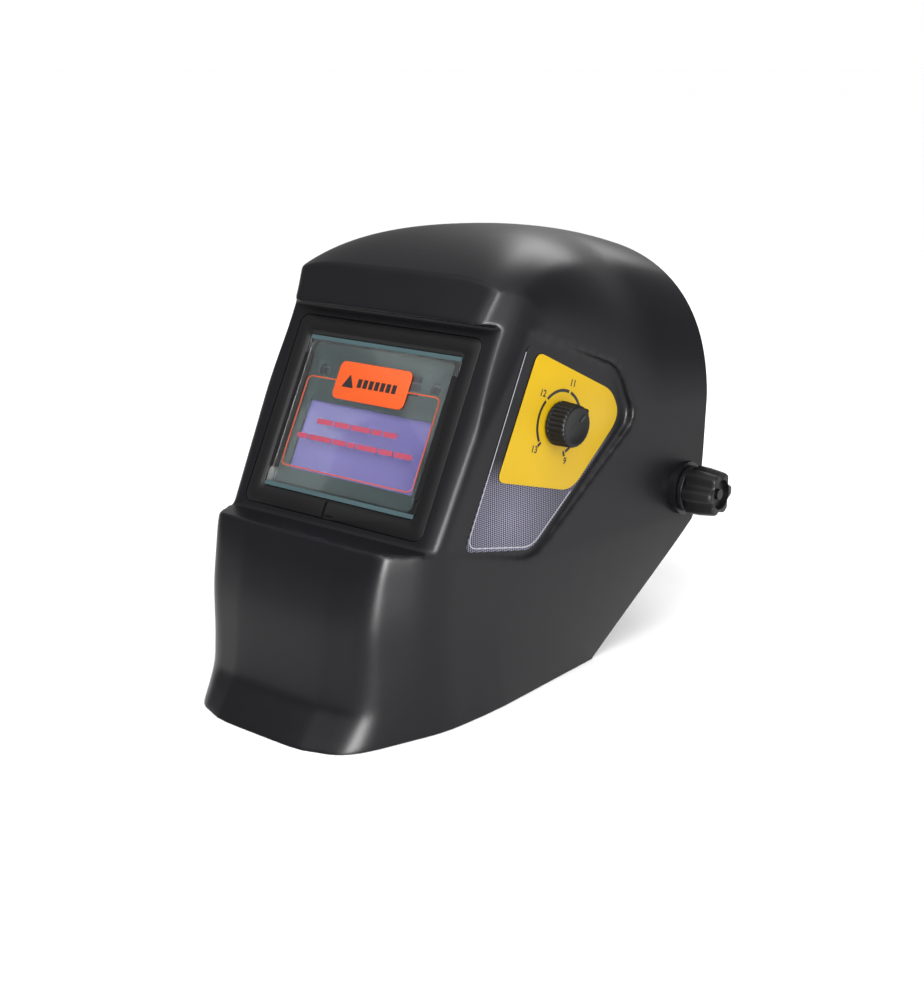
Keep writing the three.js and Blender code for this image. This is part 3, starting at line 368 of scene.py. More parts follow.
def violetFilter():
    material, nodes, link, shader = plainMaterial('violetFilter')
    place = nodes.new('ShaderNodeTexCoord')
    wash = nodes.new('ShaderNodeTexNoise')
    wash.inputs['Scale'].default_value = 14
    wash.inputs['Detail'].default_value = 1
    link(place.outputs['Object'], wash.inputs['Vector'])
    ramp = nodes.new('ShaderNodeValToRGB')
    ramp.color_ramp.elements[0].position = 0.3
    ramp.color_ramp.elements[0].color = (0.30, 0.22, 0.70, 1)
    ramp.color_ramp.elements[1].position = 0.75
    ramp.color_ramp.elements[1].color = (0.46, 0.34, 0.90, 1)
    link(wash.outputs['Fac'], ramp.inputs['Fac'])
    link(ramp.outputs['Color'], shader.inputs['Base Color'])
    shader.inputs['Roughness'].default_value = 0.12
    shader.inputs['Coat Weight'].default_value = 0.6


def solarPanel():
    material, nodes, link, shader = plainMaterial('solarPanel')
    place = nodes.new('ShaderNodeTexCoord')
    cells = nodes.new('ShaderNodeTexBrick')
    cells.inputs['Scale'].default_value = 110
    cells.inputs['Color1'].default_value = (0.012, 0.02, 0.045, 1)
    cells.inputs['Color2'].default_value = (0.016, 0.028, 0.06, 1)
    cells.inputs['Mortar'].default_value = (0.25, 0.25, 0.26, 1)
    cells.inputs['Mortar Size'].default_value = 0.012
    link(place.outputs['Object'], cells.inputs['Vector'])
    link(cells.outputs['Color'], shader.inputs['Base Color'])
    shader.inputs['Roughness'].default_value = 0.18


def stickerHatch():
    # black print with a fine crossed hatch that fades in below the yellow field; the hatch ink also carries a
    # painted sheen, lighter around one spot
    material, nodes, link, shader = plainMaterial('stickerHatch')
    place = nodes.new('ShaderNodeTexCoord')
    flat = nodes.new('ShaderNodeVectorMath')   # panel coordinates: back along the panel, up
    flat.operation = 'SUBTRACT'
    flat.inputs[1].default_value = home + Vector((panel["x"], panel["y"], 0)) * mm
    link(place.outputs['Object'], flat.inputs[0])
    split = nodes.new('ShaderNodeSeparateXYZ')
    link(flat.outputs['Vector'], split.inputs['Vector'])
    lines = []
    for direction in (1, -1):
        mixed = nodes.new('ShaderNodeMath')
        mixed.operation = 'MULTIPLY_ADD'
        mixed.inputs[1].default_value = 0.75 * direction
        link(split.outputs['Y'], mixed.inputs[0])
        link(split.outputs['Z'], mixed.inputs[2])
        wave = nodes.new('ShaderNodeMath')
        wave.operation = 'MULTIPLY'
        wave.inputs[1].default_value = math.tau / (2.3 * mm)
        link(mixed.outputs['Value'], wave.inputs[0])
        sine = nodes.new('ShaderNodeMath')
        sine.operation = 'SINE'
        link(wave.outputs['Value'], sine.inputs[0])
        lines.append(sine)
    high = nodes.new('ShaderNodeMath')
    high.operation = 'MULTIPLY'
    link(lines[0].outputs['Value'], high.inputs[0])
    link(lines[1].outputs['Value'], high.inputs[1])
    dots = nodes.new('ShaderNodeMapRange')
    dots.inputs['From Min'].default_value = -0.05
    dots.inputs['From Max'].default_value = 0.30
    link(high.outputs['Value'], dots.inputs['Value'])
    fade = nodes.new('ShaderNodeMapRange')     # the field starts just under the yellow label
    fade.inputs['From Min'].default_value = -0.012
    fade.inputs['From Max'].default_value = -0.026
    link(split.outputs['Z'], fade.inputs['Value'])
    shown = nodes.new('ShaderNodeMath')
    shown.operation = 'MULTIPLY'
    link(dots.outputs['Result'], shown.inputs[0])
    link(fade.outputs['Result'], shown.inputs[1])
    # painted sheen: the hatch ink is painted lighter near one spot and darker away from it, standing in for
    # light caught by the sticker; the hatch itself is print
    middle = nodes.new('ShaderNodeVectorMath')
    middle.operation = 'DISTANCE'
    middle.inputs[1].default_value = Vector((0.006, 0.058, -0.050))
    link(flat.outputs['Vector'], middle.inputs[0])
    paintedSheen = nodes.new('ShaderNodeMapRange')
    paintedSheen.inputs['From Min'].default_value = 0.0
    paintedSheen.inputs['From Max'].default_value = 0.042
    paintedSheen.inputs['To Min'].default_value = 1.0
    paintedSheen.inputs['To Max'].default_value = 0.32
    link(middle.outputs['Value'], paintedSheen.inputs['Value'])
    inkAndSheen = nodes.new('ShaderNodeMixRGB')
    inkAndSheen.inputs['Color1'].default_value = (0.06, 0.06, 0.08, 1)
    inkAndSheen.inputs['Color2'].default_value = (0.30, 0.29, 0.40, 1)
    link(paintedSheen.outputs['Result'], inkAndSheen.inputs['Fac'])
    printed = nodes.new('ShaderNodeMixRGB')
    printed.inputs['Color1'].default_value = (0.0055, 0.0055, 0.007, 1)
    link(shown.outputs['Value'], printed.inputs['Fac'])
    link(inkAndSheen.outputs['Color'], printed.inputs['Color2'])
    link(printed.outputs['Color'], shader.inputs['Base Color'])
    shader.inputs['Roughness'].default_value = 0.4
    shader.inputs['Specular IOR Level'].default_value = 0.2


def foamCloth():
    material, nodes, link, shader = plainMaterial('foamCloth')
    place = nodes.new('ShaderNodeTexCoord')
    weave = nodes.new('ShaderNodeTexVoronoi')
    weave.inputs['Scale'].default_value = 900
    link(place.outputs['Object'], weave.inputs['Vector'])
    cloud = nodes.new('ShaderNodeTexNoise')
    cloud.inputs['Scale'].default_value = 60
    link(place.outputs['Object'], cloud.inputs['Vector'])
    ramp = nodes.new('ShaderNodeValToRGB')
    ramp.color_ramp.elements[0].color = (0.016, 0.016, 0.019, 1)
    ramp.color_ramp.elements[1].color = (0.045, 0.045, 0.05, 1)
    link(cloud.outputs['Fac'], ramp.inputs['Fac'])
    bump = nodes.new('ShaderNodeBump')
    bump.inputs['Strength'].default_value = 0.5
    bump.inputs['Distance'].default_value = 0.0004
    link(weave.outputs['Distance'], bump.inputs['Height'])
    link(ramp.outputs['Color'], shader.inputs['Base Color'])
    link(bump.outputs['Normal'], shader.inputs['Normal'])
    shader.inputs['Roughness'].default_value = 0.9
    shader.inputs['Sheen Weight'].default_value = 0.25


def dress(piece, finish):
    piece.data.materials.clear()
    piece.data.materials.append(finishes[finish])
    return piece


def finishPiece(piece, finish, body, slot, *nodes, angle=35):
    smooth(piece, angle)
    dress(piece, finish)
    if nodes:
        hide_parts(*nodes)
    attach(piece, body)
    return piece


makeMaterials()
print('materials ready')

# ---------- shell ----------
# Millimetres in the helmet frame; the same dimensions the CAD part is driven by

shell = {
    "wall": 2.4, "lowerEdge": -162, "sideAtWindow": 83.6, "sideSpread": 0.105, "sideCurve": 0.00021,
    "lowerHalfWidth": 85.5, "taperTop": -77, "roofPeak": 102, "roofPeakAt": 118, "crestHeight": 85,
    "bodyRear": 245, "rows": 3.0, "voxel": 1.2, "innerVoxel": 2.6, "soften": 12, "keep": 0.3}

housing = {"half": 73, "corner": 9.5, "front": 1.5, "wall": 5.5}

front = [   # height, front of the chin face, bow, crease, rounding, start of the side
    (-162, -80, 11, 60, 20, -22), (-151, -74, 9, 60, 16, -25), (-140, -69, 6.5, 60.5, 13, -28),
    (-122, -67, 5, 60.5, 11, -30), (-98, -65.5, 4, 61, 9, -30), (-74, -61, 3, 62, 7, -29),
    (-52.7, -54.4, 1.5, 64, 5, -27), (58, 18, 0.8, 70, 5, 42), (96, 39, 0.8, 78, 5, 58)]


def lerp(a, b, share):
    return a + (b - a) * share


def clamp(value, low=0.0, high=1.0):
    return max(low, min(high, value))


def fullSide(y):
    return shell["sideAtWindow"] + shell["sideSpread"] * y + shell["sideCurve"] * y * y


def sideWidth(y, z):
    full = fullSide(y)
    drawn = max(0, full - shell["lowerHalfWidth"])
    share = clamp((shell["taperTop"] - z) / (shell["taperTop"] - shell["lowerEdge"]))
    return full - drawn * share ** 1.2


def frontAt(z):
    # smooth, never overshooting reading of the table
    if z <= front[0][0]:
        return front[0]
    k = 0
    while k < len(front) - 2 and z > front[k + 1][0]:
        k += 1
    low, high = front[k], front[k + 1]
    span = high[0] - low[0]
    t = (z - low[0]) / span
    mixed = [z]
    for c in range(1, 6):
        slope = (high[c] - low[c]) / span

        def tangent(at):
            if at <= 0 or at >= len(front) - 1:
                return slope
            a = (front[at][c] - front[at - 1][c]) / (front[at][0] - front[at - 1][0])
            b = (front[at + 1][c] - front[at][c]) / (front[at + 1][0] - front[at][0])
            return 2 * a * b / (a + b) if a * b > 0 else 0
        if t > 1:
            mixed.append(lerp(low[c], high[c], t))
            continue
        m0, m1 = tangent(k) * span, tangent(k + 1) * span
        mixed.append((2 * t ** 3 - 3 * t * t + 1) * low[c] + (t ** 3 - 2 * t * t + t) * m0
                     + (3 * t * t - 2 * t ** 3) * high[c] + (t ** 3 - t * t) * m1)
    return mixed


def insetHalf(points, amount):
    if not amount:
        return points
    moved = []
    for k, p in enumerate(points):
        along = (points[min(k + 1, len(points) - 1)] - points[max(k - 1, 0)]).normalized()
        moved.append(Vector((max(0, p.x - along.y * amount), p.y + along.x * amount)))
    return moved


def mirrored(half):
    return half + [Vector((-p.x, p.y)) for p in reversed(half[1:])]


def planRing(z, amount):
    height, y, bow, crease, radius, sideFrom = frontAt(z)
    corner = Vector((crease, y))
    start = Vector((sideWidth(sideFrom, z), sideFrom))
    later = Vector((sideWidth(sideFrom + 30, z), sideFrom + 30))

    def face(x):
        return y - bow * (1 - (x / crease) ** 4)
    half = [Vector((crease * s, face(crease * s))) for s in (0, 0.1, 0.2, 0.3, 0.4, 0.48, 0.55)]
    half += bend(Vector((crease * 0.6, face(crease * 0.6))), corner, start, radius, 8)
    half += bend(corner, start, later, 13, 5)
    last = half[-1].y
    for k in range(1, 15):
        back = lerp(last, shell["bodyRear"], k / 14)
        half.append(Vector((sideWidth(back, z), back)))
    return [Vector((p.x, p.y, z)) for p in mirrored(insetHalf(half, amount))]


def roofTop(y):
    away = y - shell["roofPeakAt"]
    rise = shell["roofPeak"] - shell["crestHeight"]
    fall = 13 / 87 ** 2 if away > 0 else rise / (shell["roofPeakAt"] - 33) ** 2
    return shell["roofPeak"] - fall * away * away


def roofRing(y, amount):
    at = clamp((y - 33) / 125)
    ease = at * at * (3 - 2 * at)
    power = lerp(5.2, 2.5, ease)
    spring = lerp(40, -20, ease)
    half = fullSide(y) + 0.4 - amount
    top = roofTop(max(y, 33)) - amount
    ring = [Vector((half, y, -210))]
    for k in range(81):
        angle = math.pi * k / 80
        c, s = math.cos(angle), math.sin(angle)
        height = spring + (top - spring) * max(s, 0) ** (2 / power)
        ring.append(Vector((math.copysign(half * abs(c) ** (2 / power), c), y, height)))
    ring.append(Vector((-half, y, -210)))
    return ring


def mainBody(name, amount):
    low = shell["lowerEdge"] - (20 if amount else 3)
    rows = int((112 - low) / shell["rows"])
    sides = loft(name, [planRing(lerp(low, 112, k / rows), amount) for k in range(rows + 1)])
    roof = loft('roof', [roofRing(y, amount) for y in [-120, 20] + list(range(33, 251, 6))])
    return cut(sides, roof, 'INTERSECT')


def barAcross(name, points, half, middle=0.0):
    return loft(name, [[Vector((middle + x, p[0], p[1])) for p in points] for x in (-half, half)])


recessCorners = [(-120, -44), (-29, -56), (48, -77), (135, -7), (120, 26.5), (39, 58.5), (-120, 80.5)]
recessGrowth = [(0, -1), (0, -1), (0.4, -1), (1, -0.3), (0.7, 0.7), (0.3, 1), (0, 1)]


def recessForm(amount):
    grown = [(p[0] + d[0] * amount, p[1] + d[1] * amount) for p, d in zip(recessCorners, recessGrowth)]
    return barAcross('recess', rounded(grown, [0, 0, 13, 11, 11, 6, 0]), 140)


def panelX(y):
    return panel["x"] + math.tan(panel["toe"]) * (y - panel["y"])


def housingForm(amount, faceAmount):
    rings = []
    for z in (-110, 110):
        y = z * math.tan(lean) - (housing["front"] - faceAmount) / math.cos(lean)
        side = Vector((housing["half"] * 0.6 - amount, y))
        corner = Vector((panelX(y) - amount + 0.4, y))
        behind = Vector((panelX(y + 40) - amount, y + 40))
        half = [Vector((0, y)), side] + bend(side, corner, behind, housing["corner"], 8)
        half.append(Vector((panelX(shell["bodyRear"]) - amount, shell["bodyRear"])))
        rings.append([Vector((p.x, p.y, z)) for p in mirrored(half)])
    return loft('housing', rings)


def formWith(name, amount, faceAmount, voxel, passes):
    body = mainBody(name, amount)
    cut(body, cut(recessForm(amount), housingForm(amount, faceAmount)))
    apply(body, 'REMESH', mode='VOXEL', voxel_size=voxel * mm * 1)
    apply(body, 'SMOOTH', factor=0.5, iterations=passes)
    return apply(body, 'DECIMATE', ratio=shell["keep"])


def sideView():
    # flat lower edge, sloping rear edge and upright rim
    points = [Vector((-140, -162)), Vector((117, -162))]
    points += quadratic((117, -162), (157.7, -130.4), (191, -83), 10)[1:]
    points += quadratic((191, -83), (197, -62), (198, -40), 6)[1:]
    points += [Vector((200, 20))]
    points += quadratic((200, 20), (202, 60), (205, 130), 6)[1:]
    points.append(Vector((-140, 130)))
    return barAcross('sideView', points, 150)


def quadratic(a, b, c, steps):
    a, b, c = Vector(a), Vector(b), Vector(c)
    return [a * (1 - t) ** 2 + b * 2 * t * (1 - t) + c * t * t for t in [k / steps for k in range(steps + 1)]]


def rod(name, radius, x0, x1, y, z, sides=48):
    return loft(name, [[Vector((x, p.x, p.y)) for p in circle(y, z, radius, sides)] for x in (x0, x1)])


cartridge = {"width": 110, "height": 90, "depth": 17.3}
# the dial stands in the panel frame
dial = {"x": 98.9, "y": 0.4, "radius": 13, "low": 2.1, "high": 14.7, "ribs": 26, "pointer": 34, "arc": 18.9}
pivot = {"y": 182, "z": -60, "face": 112, "bossRadius": 17, "bossThick": 7, "bore": 5.2}


def makeShell():
    body = formWith('shellBody', 0, 0, shell["voxel"], shell["soften"])
    cut(body, sideView(), 'INTERSECT')
    cut(body, formWith('shellRoom', shell["wall"], housing["wall"], shell["innerVoxel"], 2))
    wallBack = housing["front"] - housing["wall"]
    back = wallBack - cartridge["depth"]
    outline = roundRect(cartridge["width"] + 12, cartridge["height"] + 12, 4)
    frameRing = plate('frameRing', outline, back, wallBack + 0.6, windowPlace, 0.6)
    room = roundRect(cartridge["width"] + 1, cartridge["height"] + 1, 2)
    cut(frameRing, plate('frameRoom', room, back - 5, wallBack, windowPlace))
    cut(body, frameRing, 'UNION')
    for side in (-1, 1):
        inner, face = side * (pivot["face"] - pivot["bossThick"]), side * pivot["face"]
        pad = rod('pivotPad', pivot["bossRadius"], inner, face, pivot["y"], pivot["z"])
        cut(pad, sideView(), 'INTERSECT')
        cut(body, pad, 'UNION')
    cutters = [
        plate('bezelPocket', roundRect(138.6, 118.6, 6), -1.3, 20, windowPlace),
        plate('lensHole', roundRect(108, 86.6, 4), back - 3, 2, windowPlace),
        disc('potHole', 4.5, -20, 20, dial["x"], dial["y"], panelPlace, 40),
        newBox('leadNotch', (59 - 8, 6, -51), (59 + 8, 14, -11), windowPlace)]
    for x, v in ((-58.3, -48.3), (58.3, -48.3), (58.3, 48.3), (-58.3, 48.3)):
        cutters.append(disc('pilot', 1.5, back - 5, back + 8, x, v, windowPlace, 24))
    for side in (-1, 1):
        face, past = side * pivot["face"], side * (pivot["face"] + 9)
        cutters.append(rod('spotFace', pivot["bossRadius"], face, past, pivot["y"], pivot["z"]))
        cutters.append(rod('bore', pivot["bore"], side * 90, side * 130, pivot["y"], pivot["z"]))
    for cutter in cutters:
        cut(body, cutter)
    finishPiece(body, 'shellPlastic', 'shell', 'shell_black', 'shell', angle=28)
    print('shell ready', len(body.data.polygons))
    return body


def newBox(name, low, high, place=helmetPlace):
    x0, y0, z0 = low
    x1, y1, z1 = high
    ring = [Vector((x0, y0)), Vector((x1, y0)), Vector((x1, y1)), Vector((x0, y1))]
    return loft(name, raised(ring, (z0, z1)), place)


makeShell()

slotOf = {part["node"]: part["material_slot"] for part in frame["record"]["subparts"]}
bodyOf = {node: body for body, nodes in frame["record"]["behaviour"]["bodies"].items() for node in nodes}


# ---------- window ----------
# Millimetres in the window frame: across, up the lens, out of the lens

bezel = {"width": 138, "height": 118, "back": -1, "face": 1.5, "opening": (116.8, 95.4)}
film = {"width": 110, "height": 88.6, "low": 0.3, "high": 0.6, "outline": (-50, 52, -33.5, 22.4),
        # from, to, height, word lengths
        "print": ((-32, 31, -5.4, (6, 6, 7, 4, 5)), (-44, 46, -15.6, (4, 8, 5, 3, 7, 5, 6)))}
tab = {"width": 55, "height": 23, "x": 0.5, "up": 22.7, "low": 0.9, "high": 1.3}


def makeBezel():
    outer = (bezel["width"], bezel["height"])
    inner = bezel["opening"]
    levels = [   # width, height, corner radius, out of the lens
        (outer[0], outer[1], 5.5, bezel["back"]), (outer[0], outer[1], 5.5, 0.9),
        (outer[0] - 0.3, outer[1] - 0.3, 5.3, 1.3),
        (outer[0] - 1, outer[1] - 1, 5, bezel["face"]), (inner[0] + 4.4, inner[1] + 4.4, 4.4, bezel["face"]),
        (inner[0] + 3.6, inner[1] + 3.6, 4, 1.3), (inner[0] + 0.5, inner[1] + 0.5, 3, 0.25),
        (inner[0], inner[1], 3, 0), (inner[0], inner[1], 3, bezel["back"])]
    rings = [raised(roundRect(w, h, r), (n,))[0] for w, h, r, n in levels]
    piece = loft('lensBezel', rings, windowPlace, loop=True)
    for x0, x1 in ((-59.6, -51.5), (54.6, 59.6)):      # ribs that hold the sides of the lens
        rib = plate('lensRib', roundRect(x1 - x0, 72, 1.2, (x0 + x1) / 2, 0), 0.05, 0.27, windowPlace)
        cut(piece, rib, 'UNION')
    # latch slot and its foot
    for outline in (roundRect(2, 11, 0.9, -5, -53.4), roundRect(9, 2.4, 1.1, -1.4, -57.6)):
        cut(piece, plate('latchSlot', outline, 0.3, 4, windowPlace))
    finishPiece(piece, 'trimPlastic', 'shell', slotOf["lens_bezel"], 'lens_bezel', angle=30)


def makeGlass():
    lens = plate('coverLens', roundRect(116, 94.6, 3), -1, 0, windowPlace, 0.2)
    finishPiece(lens, 'lensClear', 'shell', slotOf["front_cover_lens"], 'front_cover_lens')
    outline = roundRect(film["width"], film["height"], 3)
    sheet = plate('protectiveFilm', outline, film["low"], film["high"], windowPlace)
    finishPiece(sheet, 'filmClear', 'shell', slotOf["lens_film"], 'lens_film')
    strips = [plate('lensStrip', roundRect(115.6, 2.6, 0.8, 0, v), 0.03, 0.26, windowPlace)
              for v in (-45.9, 45.9)]
    finishPiece(joined(strips), 'lensEdge', 'shell', slotOf["front_cover_lens"])
    x0, x1, v0, v1 = film["outline"]
    middle = ((x0 + x1) / 2, (v0 + v1) / 2)
    rings = []
    for back, n in ((0, 0.61), (0, 0.66), (0.55, 0.66), (0.55, 0.61)):
        rings += raised(roundRect(x1 - x0 - back * 2, v1 - v0 - back * 2, 4 - back, *middle), (n,))
    ring = loft('filmOutline', rings, windowPlace, loop=True)
    finishPiece(ring, 'orangeTab', 'shell', slotOf["film_pull_tab"])
    # lines of print, as plain bars
    bars = []
    for start, end, v, words in film["print"]:
        share = (end - start) / sum(words)
        x = start
        for long in words:
            far = (x + long * share - 1.3, v + 3.0, 0.66)
            bars.append(newBox('printBar', (x, v, 0.62), far, windowPlace))
            x += long * share
    finishPiece(joined(bars), 'printRed', 'shell', slotOf["film_pull_tab"])


def makeTab():
    outline = roundRect(tab["width"], tab["height"], 4, tab["x"], tab["up"])
    flap = plate('pullTab', outline, tab["low"], tab["high"], windowPlace, 0.1)
    finishPiece(flap, 'orangeTab', 'shell', slotOf["film_pull_tab"], 'film_pull_tab')
    top = tab["high"] + 0.01
    bars = []
    for k in range(7):
        x = tab["x"] - 10.5 + k * 4.4
        near, far = (x, tab["up"] - 3.1, top), (x + 3.1, tab["up"] + 2.1, top + 0.05)
        bars.append(newBox('tabBar', near, far, windowPlace))
    corners = [Vector((tab["x"] + x, tab["up"] + v)) for x, v in ((-22, -4), (-13, -4), (-17.5, 4))]
    sign = rounded(corners, [0.8, 0.8, 0.8], 4)
    bars.append(loft('tabSign', raised(sign, (top, top + 0.05)), windowPlace))
    finishPiece(joined(bars), 'printDark', 'shell', slotOf["film_pull_tab"])


# ---------- pieces that keep the CAD shape, with softened edges ----------

def refined(node, finish, width, segments):
    data = frame["nodes"][node].data.copy()
    data.materials.clear()
    piece = bpy.data.objects.new(node + 'Soft', data)
    scene.collection.objects.link(piece)
    outward(piece)
    apply(piece, 'DECIMATE', decimate_type='DISSOLVE', angle_limit=math.radians(1.5))
    if width:
        bevelled(piece, width, segments)
    apply(piece, 'TRIANGULATE')
    for attribute in list(piece.data.attributes):
        if attribute.name.startswith('custom_normal'):
            piece.data.attributes.remove(attribute)
    return finishPiece(piece, finish, bodyOf[node], slotOf[node], node, angle=35)


softNodes = {   # node: finish, edge radius in millimetres
    "cartridge_front_case": ('filterFrame', 0.4), "cartridge_rear_case": ('casePlastic', 0.4),
    "cartridge_retainer": ('trimPlastic', 0.4), "circuit_board": ('boardGreen', 0.1),
    "battery_left": ('zincMetal', 0.25), "battery_right": ('zincMetal', 0.25),
    "darkening_filter": ('violetFilter', 0.15), "solar_cell": ('solarPanel', 0.1),
    "arc_sensor_left": ('solarPanel', 0.3), "arc_sensor_right": ('solarPanel', 0.3),
    "inner_cover_lens": ('lensClear', 0.15), "sensitivity_knob": ('knobPlastic', 0.2),
    "delay_knob": ('knobPlastic', 0.2),
    "retainer_screw_1": ('zincMetal', 0.3), "retainer_screw_2": ('zincMetal', 0.3),
    "retainer_screw_3": ('zincMetal', 0.3), "retainer_screw_4": ('zincMetal', 0.3),
    "dial_washer": ('zincMetal', 0.15), "dial_nut": ('zincMetal', 0.25),
    "shade_potentiometer": ('zincMetal', 0.3),
    "potentiometer_shaft": ('zincMetal', 0.3), "shade_lead": ('leadRubber', 0),
    "pivot_arm_left": ('strapPlastic', 0.7), "pivot_arm_right": ('strapPlastic', 0.7),
    "pivot_bolt_left": ('zincMetal', 0.5), "pivot_bolt_right": ('zincMetal', 0.5),
    "tilt_stop_left": ('trimPlastic', 0.3), "tilt_stop_right": ('trimPlastic', 0.3),
    "pivot_spacer_left": ('trimPlastic', 0.4), "pivot_spacer_right": ('trimPlastic', 0.4),
    "arm_rivet_left": ('zincMetal', 0.4), "arm_rivet_right": ('zincMetal', 0.4),
    "crown_rivet_left": ('zincMetal', 0.4), "crown_rivet_right": ('zincMetal', 0.4),
    "crown_stud_left": ('strapPlastic', 0.4), "crown_stud_right": ('strapPlastic', 0.4),
    "ratchet_housing": ('trimPlastic', 1.2), "ratchet_cover": ('trimPlastic', 1.0),
    "ratchet_pinion": ('strapPlastic', 0.2)}


def makeSoftNodes():
    for node, (finish, width) in softNodes.items():
        refined(node, finish, width, 3 if width > 0.5 else 2)
    print('soft nodes ready')


# ---------- side label and shade dial ----------
# Millimetres in the panel frame: back along the panel, up, out of the panel

marks = {"13": 209, "12": 126, "11": 61, "10": -8, "9": -77}   # degrees round the dial
stickerCorners = [(21.5, -59.5), (77, -71), (158, -7), (147, 17.5), (72.5, 49.5)]
fieldCorners = [(47, -24.5), (111, -42.5), (155, -5), (147, 12), (80, 44.5)]


def arcBand(name, radius, width, startAngle, endAngle, low, high, steps=48):
    rings = []
    inner, outer = radius - width / 2, radius + width / 2
    section = ((inner, low), (outer, low), (outer, high), (inner, high))
    for k in range(steps + 1):
        angle = math.radians(lerp(startAngle, endAngle, k / steps))
        c, s = math.cos(angle), math.sin(angle)
        rings.append([Vector((dial["x"] + c * r, dial["y"] + s * r, n)) for r, n in section])
    return loft(name, rings, panelPlace)


def strokePath(name, path, width, low, high, place):
    # flat line of one width along an open path
    rings = []
    for k, p in enumerate(path):
        along = heading(path, k)
        side = Vector((-along.y, along.x)) * width / 2
        rings.append([Vector((p.x + side.x * s, p.y + side.y * s, n))
                      for s, n in ((-1, low), (1, low), (1, high), (-1, high))])
    return loft(name, rings, place)


def number(text, x, y, size, tilt):
    bpy.ops.object.text_add()
    piece = bpy.context.object
    piece.name = 'number' + text
    piece.data.body = text
    piece.data.align_x = 'CENTER'
    piece.data.align_y = 'CENTER'
    piece.data.size = size * mm
    piece.data.extrude = 0.03 * mm
    piece.data.offset = 0.13 * mm
    pick(piece)
    bpy.ops.object.convert(target='MESH')
    piece = bpy.context.object
    turn = Matrix.Rotation(math.radians(tilt), 4, 'Z')
    piece.data.transform(panelPlace @ Matrix.Translation(Vector((x, y, 1.25)) * mm) @ turn)
    outward(piece)
    return piece


def makePanel():
    hole = (dial["x"], dial["y"])
    sticker = plate('sideSticker', rounded(stickerCorners, [6, 8, 10, 8, 4]), 0.3, 0.6, panelPlace)
    cut(sticker, disc('stickerHole', 7.4, -5, 5, *hole, panelPlace))
    finishPiece(sticker, 'stickerHatch', 'shell', slotOf["side_panel_sticker"], 'side_panel_sticker')
    edge = [Vector((70.6, 45.5))]
    edge += bend((70.6, 46), (23.3, -57.7), (77, -69.3), 8, 8)
    edge += bend((23.3, -57.7), (77, -69.3), (114, -40.5), 8, 8)
    edge.append(Vector((111, -42.8)))
    silver = strokePath('silverLine', edge, 0.6, 0.61, 0.68, panelPlace)
    finishPiece(silver, 'silverInk', 'shell', slotOf["side_panel_sticker"])
    field = plate('yellowLabel', rounded(fieldCorners, [6, 10, 12, 8, 6]), 0.9, 1.2, panelPlace, 0.08)
    cut(field, disc('fieldHole', 7.4, -5, 5, *hole, panelPlace))
    finishPiece(field, 'labelYellow', 'shell', slotOf["dial_label"], 'dial_label')
    prints = []
    angles = sorted(marks.values(), reverse=True)
    first, last = angles[0], angles[-1]
    for start, end in zip(angles, angles[1:]):
        fromAngle = start - (5 if start == first else 2.6)
        toAngle = end + (5 if end == last else 2.6)
        prints.append(arcBand('dialArc', dial["arc"], 1.8, fromAngle, toAngle, 1.21, 1.26))
    for text, angle in marks.items():
        a = math.radians(angle)
        far = dial["arc"] + 2.2
        direction = Vector((math.cos(a), math.sin(a)))
        centre = Vector(hole)
        if angle in (first, last):
            tick = [centre + direction * (dial["arc"] - 1), centre + direction * far]
            prints.append(strokePath('dialTick', tick, 1.7, 1.21, 1.26, panelPlace))
        at = centre + direction * (dial["arc"] + 5.4)
        prints.append(number(text, at.x, at.y, 5.6, -18))
    finishPiece(joined(prints), 'printDark', 'shell', slotOf["dial_label"])


def ribbedRing(radius, count, depth, steps, pointer=None):
    points = []
    for k in range(count * steps):
        angle = k * math.tau / (count * steps)
        wave = 0.5 + 0.5 * math.cos(angle * count)
        r = radius - depth * (1 - wave ** 0.6)
        if pointer is not None:
            away = abs((angle - pointer + math.pi) % math.tau - math.pi)
            r = max(r, radius + 1.5 * clamp(1.35 - away / math.radians(6)) if away < math.radians(9) else r)
        points.append(Vector((math.cos(angle) * r, math.sin(angle) * r)))
    return points


def makeShadeKnob():
    pointer = math.radians(dial["pointer"])
    top = dial["high"]
    full, low = dial["radius"], dial["low"]
    levels = [   # radius, rib depth, height
        (full, 0.2, low), (full, 0.2, low + 1.3), (full - 0.1, 0.75, low + 1.6),
        (full - 0.5, 0.75, top - 1.9), (full - 0.9, 0.4, top - 1.0), (full - 1.4, 0.1, top - 0.35),
        (full - 2.1, 0, top), (full - 3.2, 0, top - 0.05), (full - 3.8, 0, top - 0.5), (2, 0, top - 0.5)]
    rings = []
    for radius, depth, height in levels:
        mark = pointer if depth >= 0.4 and radius > full - 1 else None
        outline = ribbedRing(radius, dial["ribs"], depth, 8, mark)
        rings.append([Vector((dial["x"] + p.x, dial["y"] + p.y, height)) for p in outline])
    knob = loft('shadeKnob', rings, panelPlace)
    cut(knob, disc('knobRoom', 8, -1, 5.2, dial["x"], dial["y"], panelPlace))
    cut(knob, disc('knobBore', 3.3, -1, 12.1, dial["x"], dial["y"], panelPlace))
    rib = [Vector((dial["x"] + math.cos(pointer) * r, dial["y"] + math.sin(pointer) * r)) for r in (4.2, 8.9)]
    line = strokePath('pointerRib', rib, 1.6, top - 0.6, top - 0.1, panelPlace)
    cut(knob, line, 'UNION')
    finishPiece(knob, 'knobPlastic', 'shade_knob', slotOf["shade_knob"], 'shade_knob', angle=40)


# ---------- side knobs ----------

sideKnob = {"radius": 15.6, "waist": 13, "from": 115.8, "long": 20, "lobes": 6, "recess": 9.5}


def lobedRing(outer, waist, x, steps=96):
    ring = []
    for k in range(steps):
        angle = k * math.tau / steps
        r = waist + (outer - waist) * min(1, 0.5 + 0.85 * math.cos(angle * sideKnob["lobes"]))
        ring.append(Vector((x, pivot["y"] + math.cos(angle) * r, pivot["z"] + math.sin(angle) * r)))
    return ring


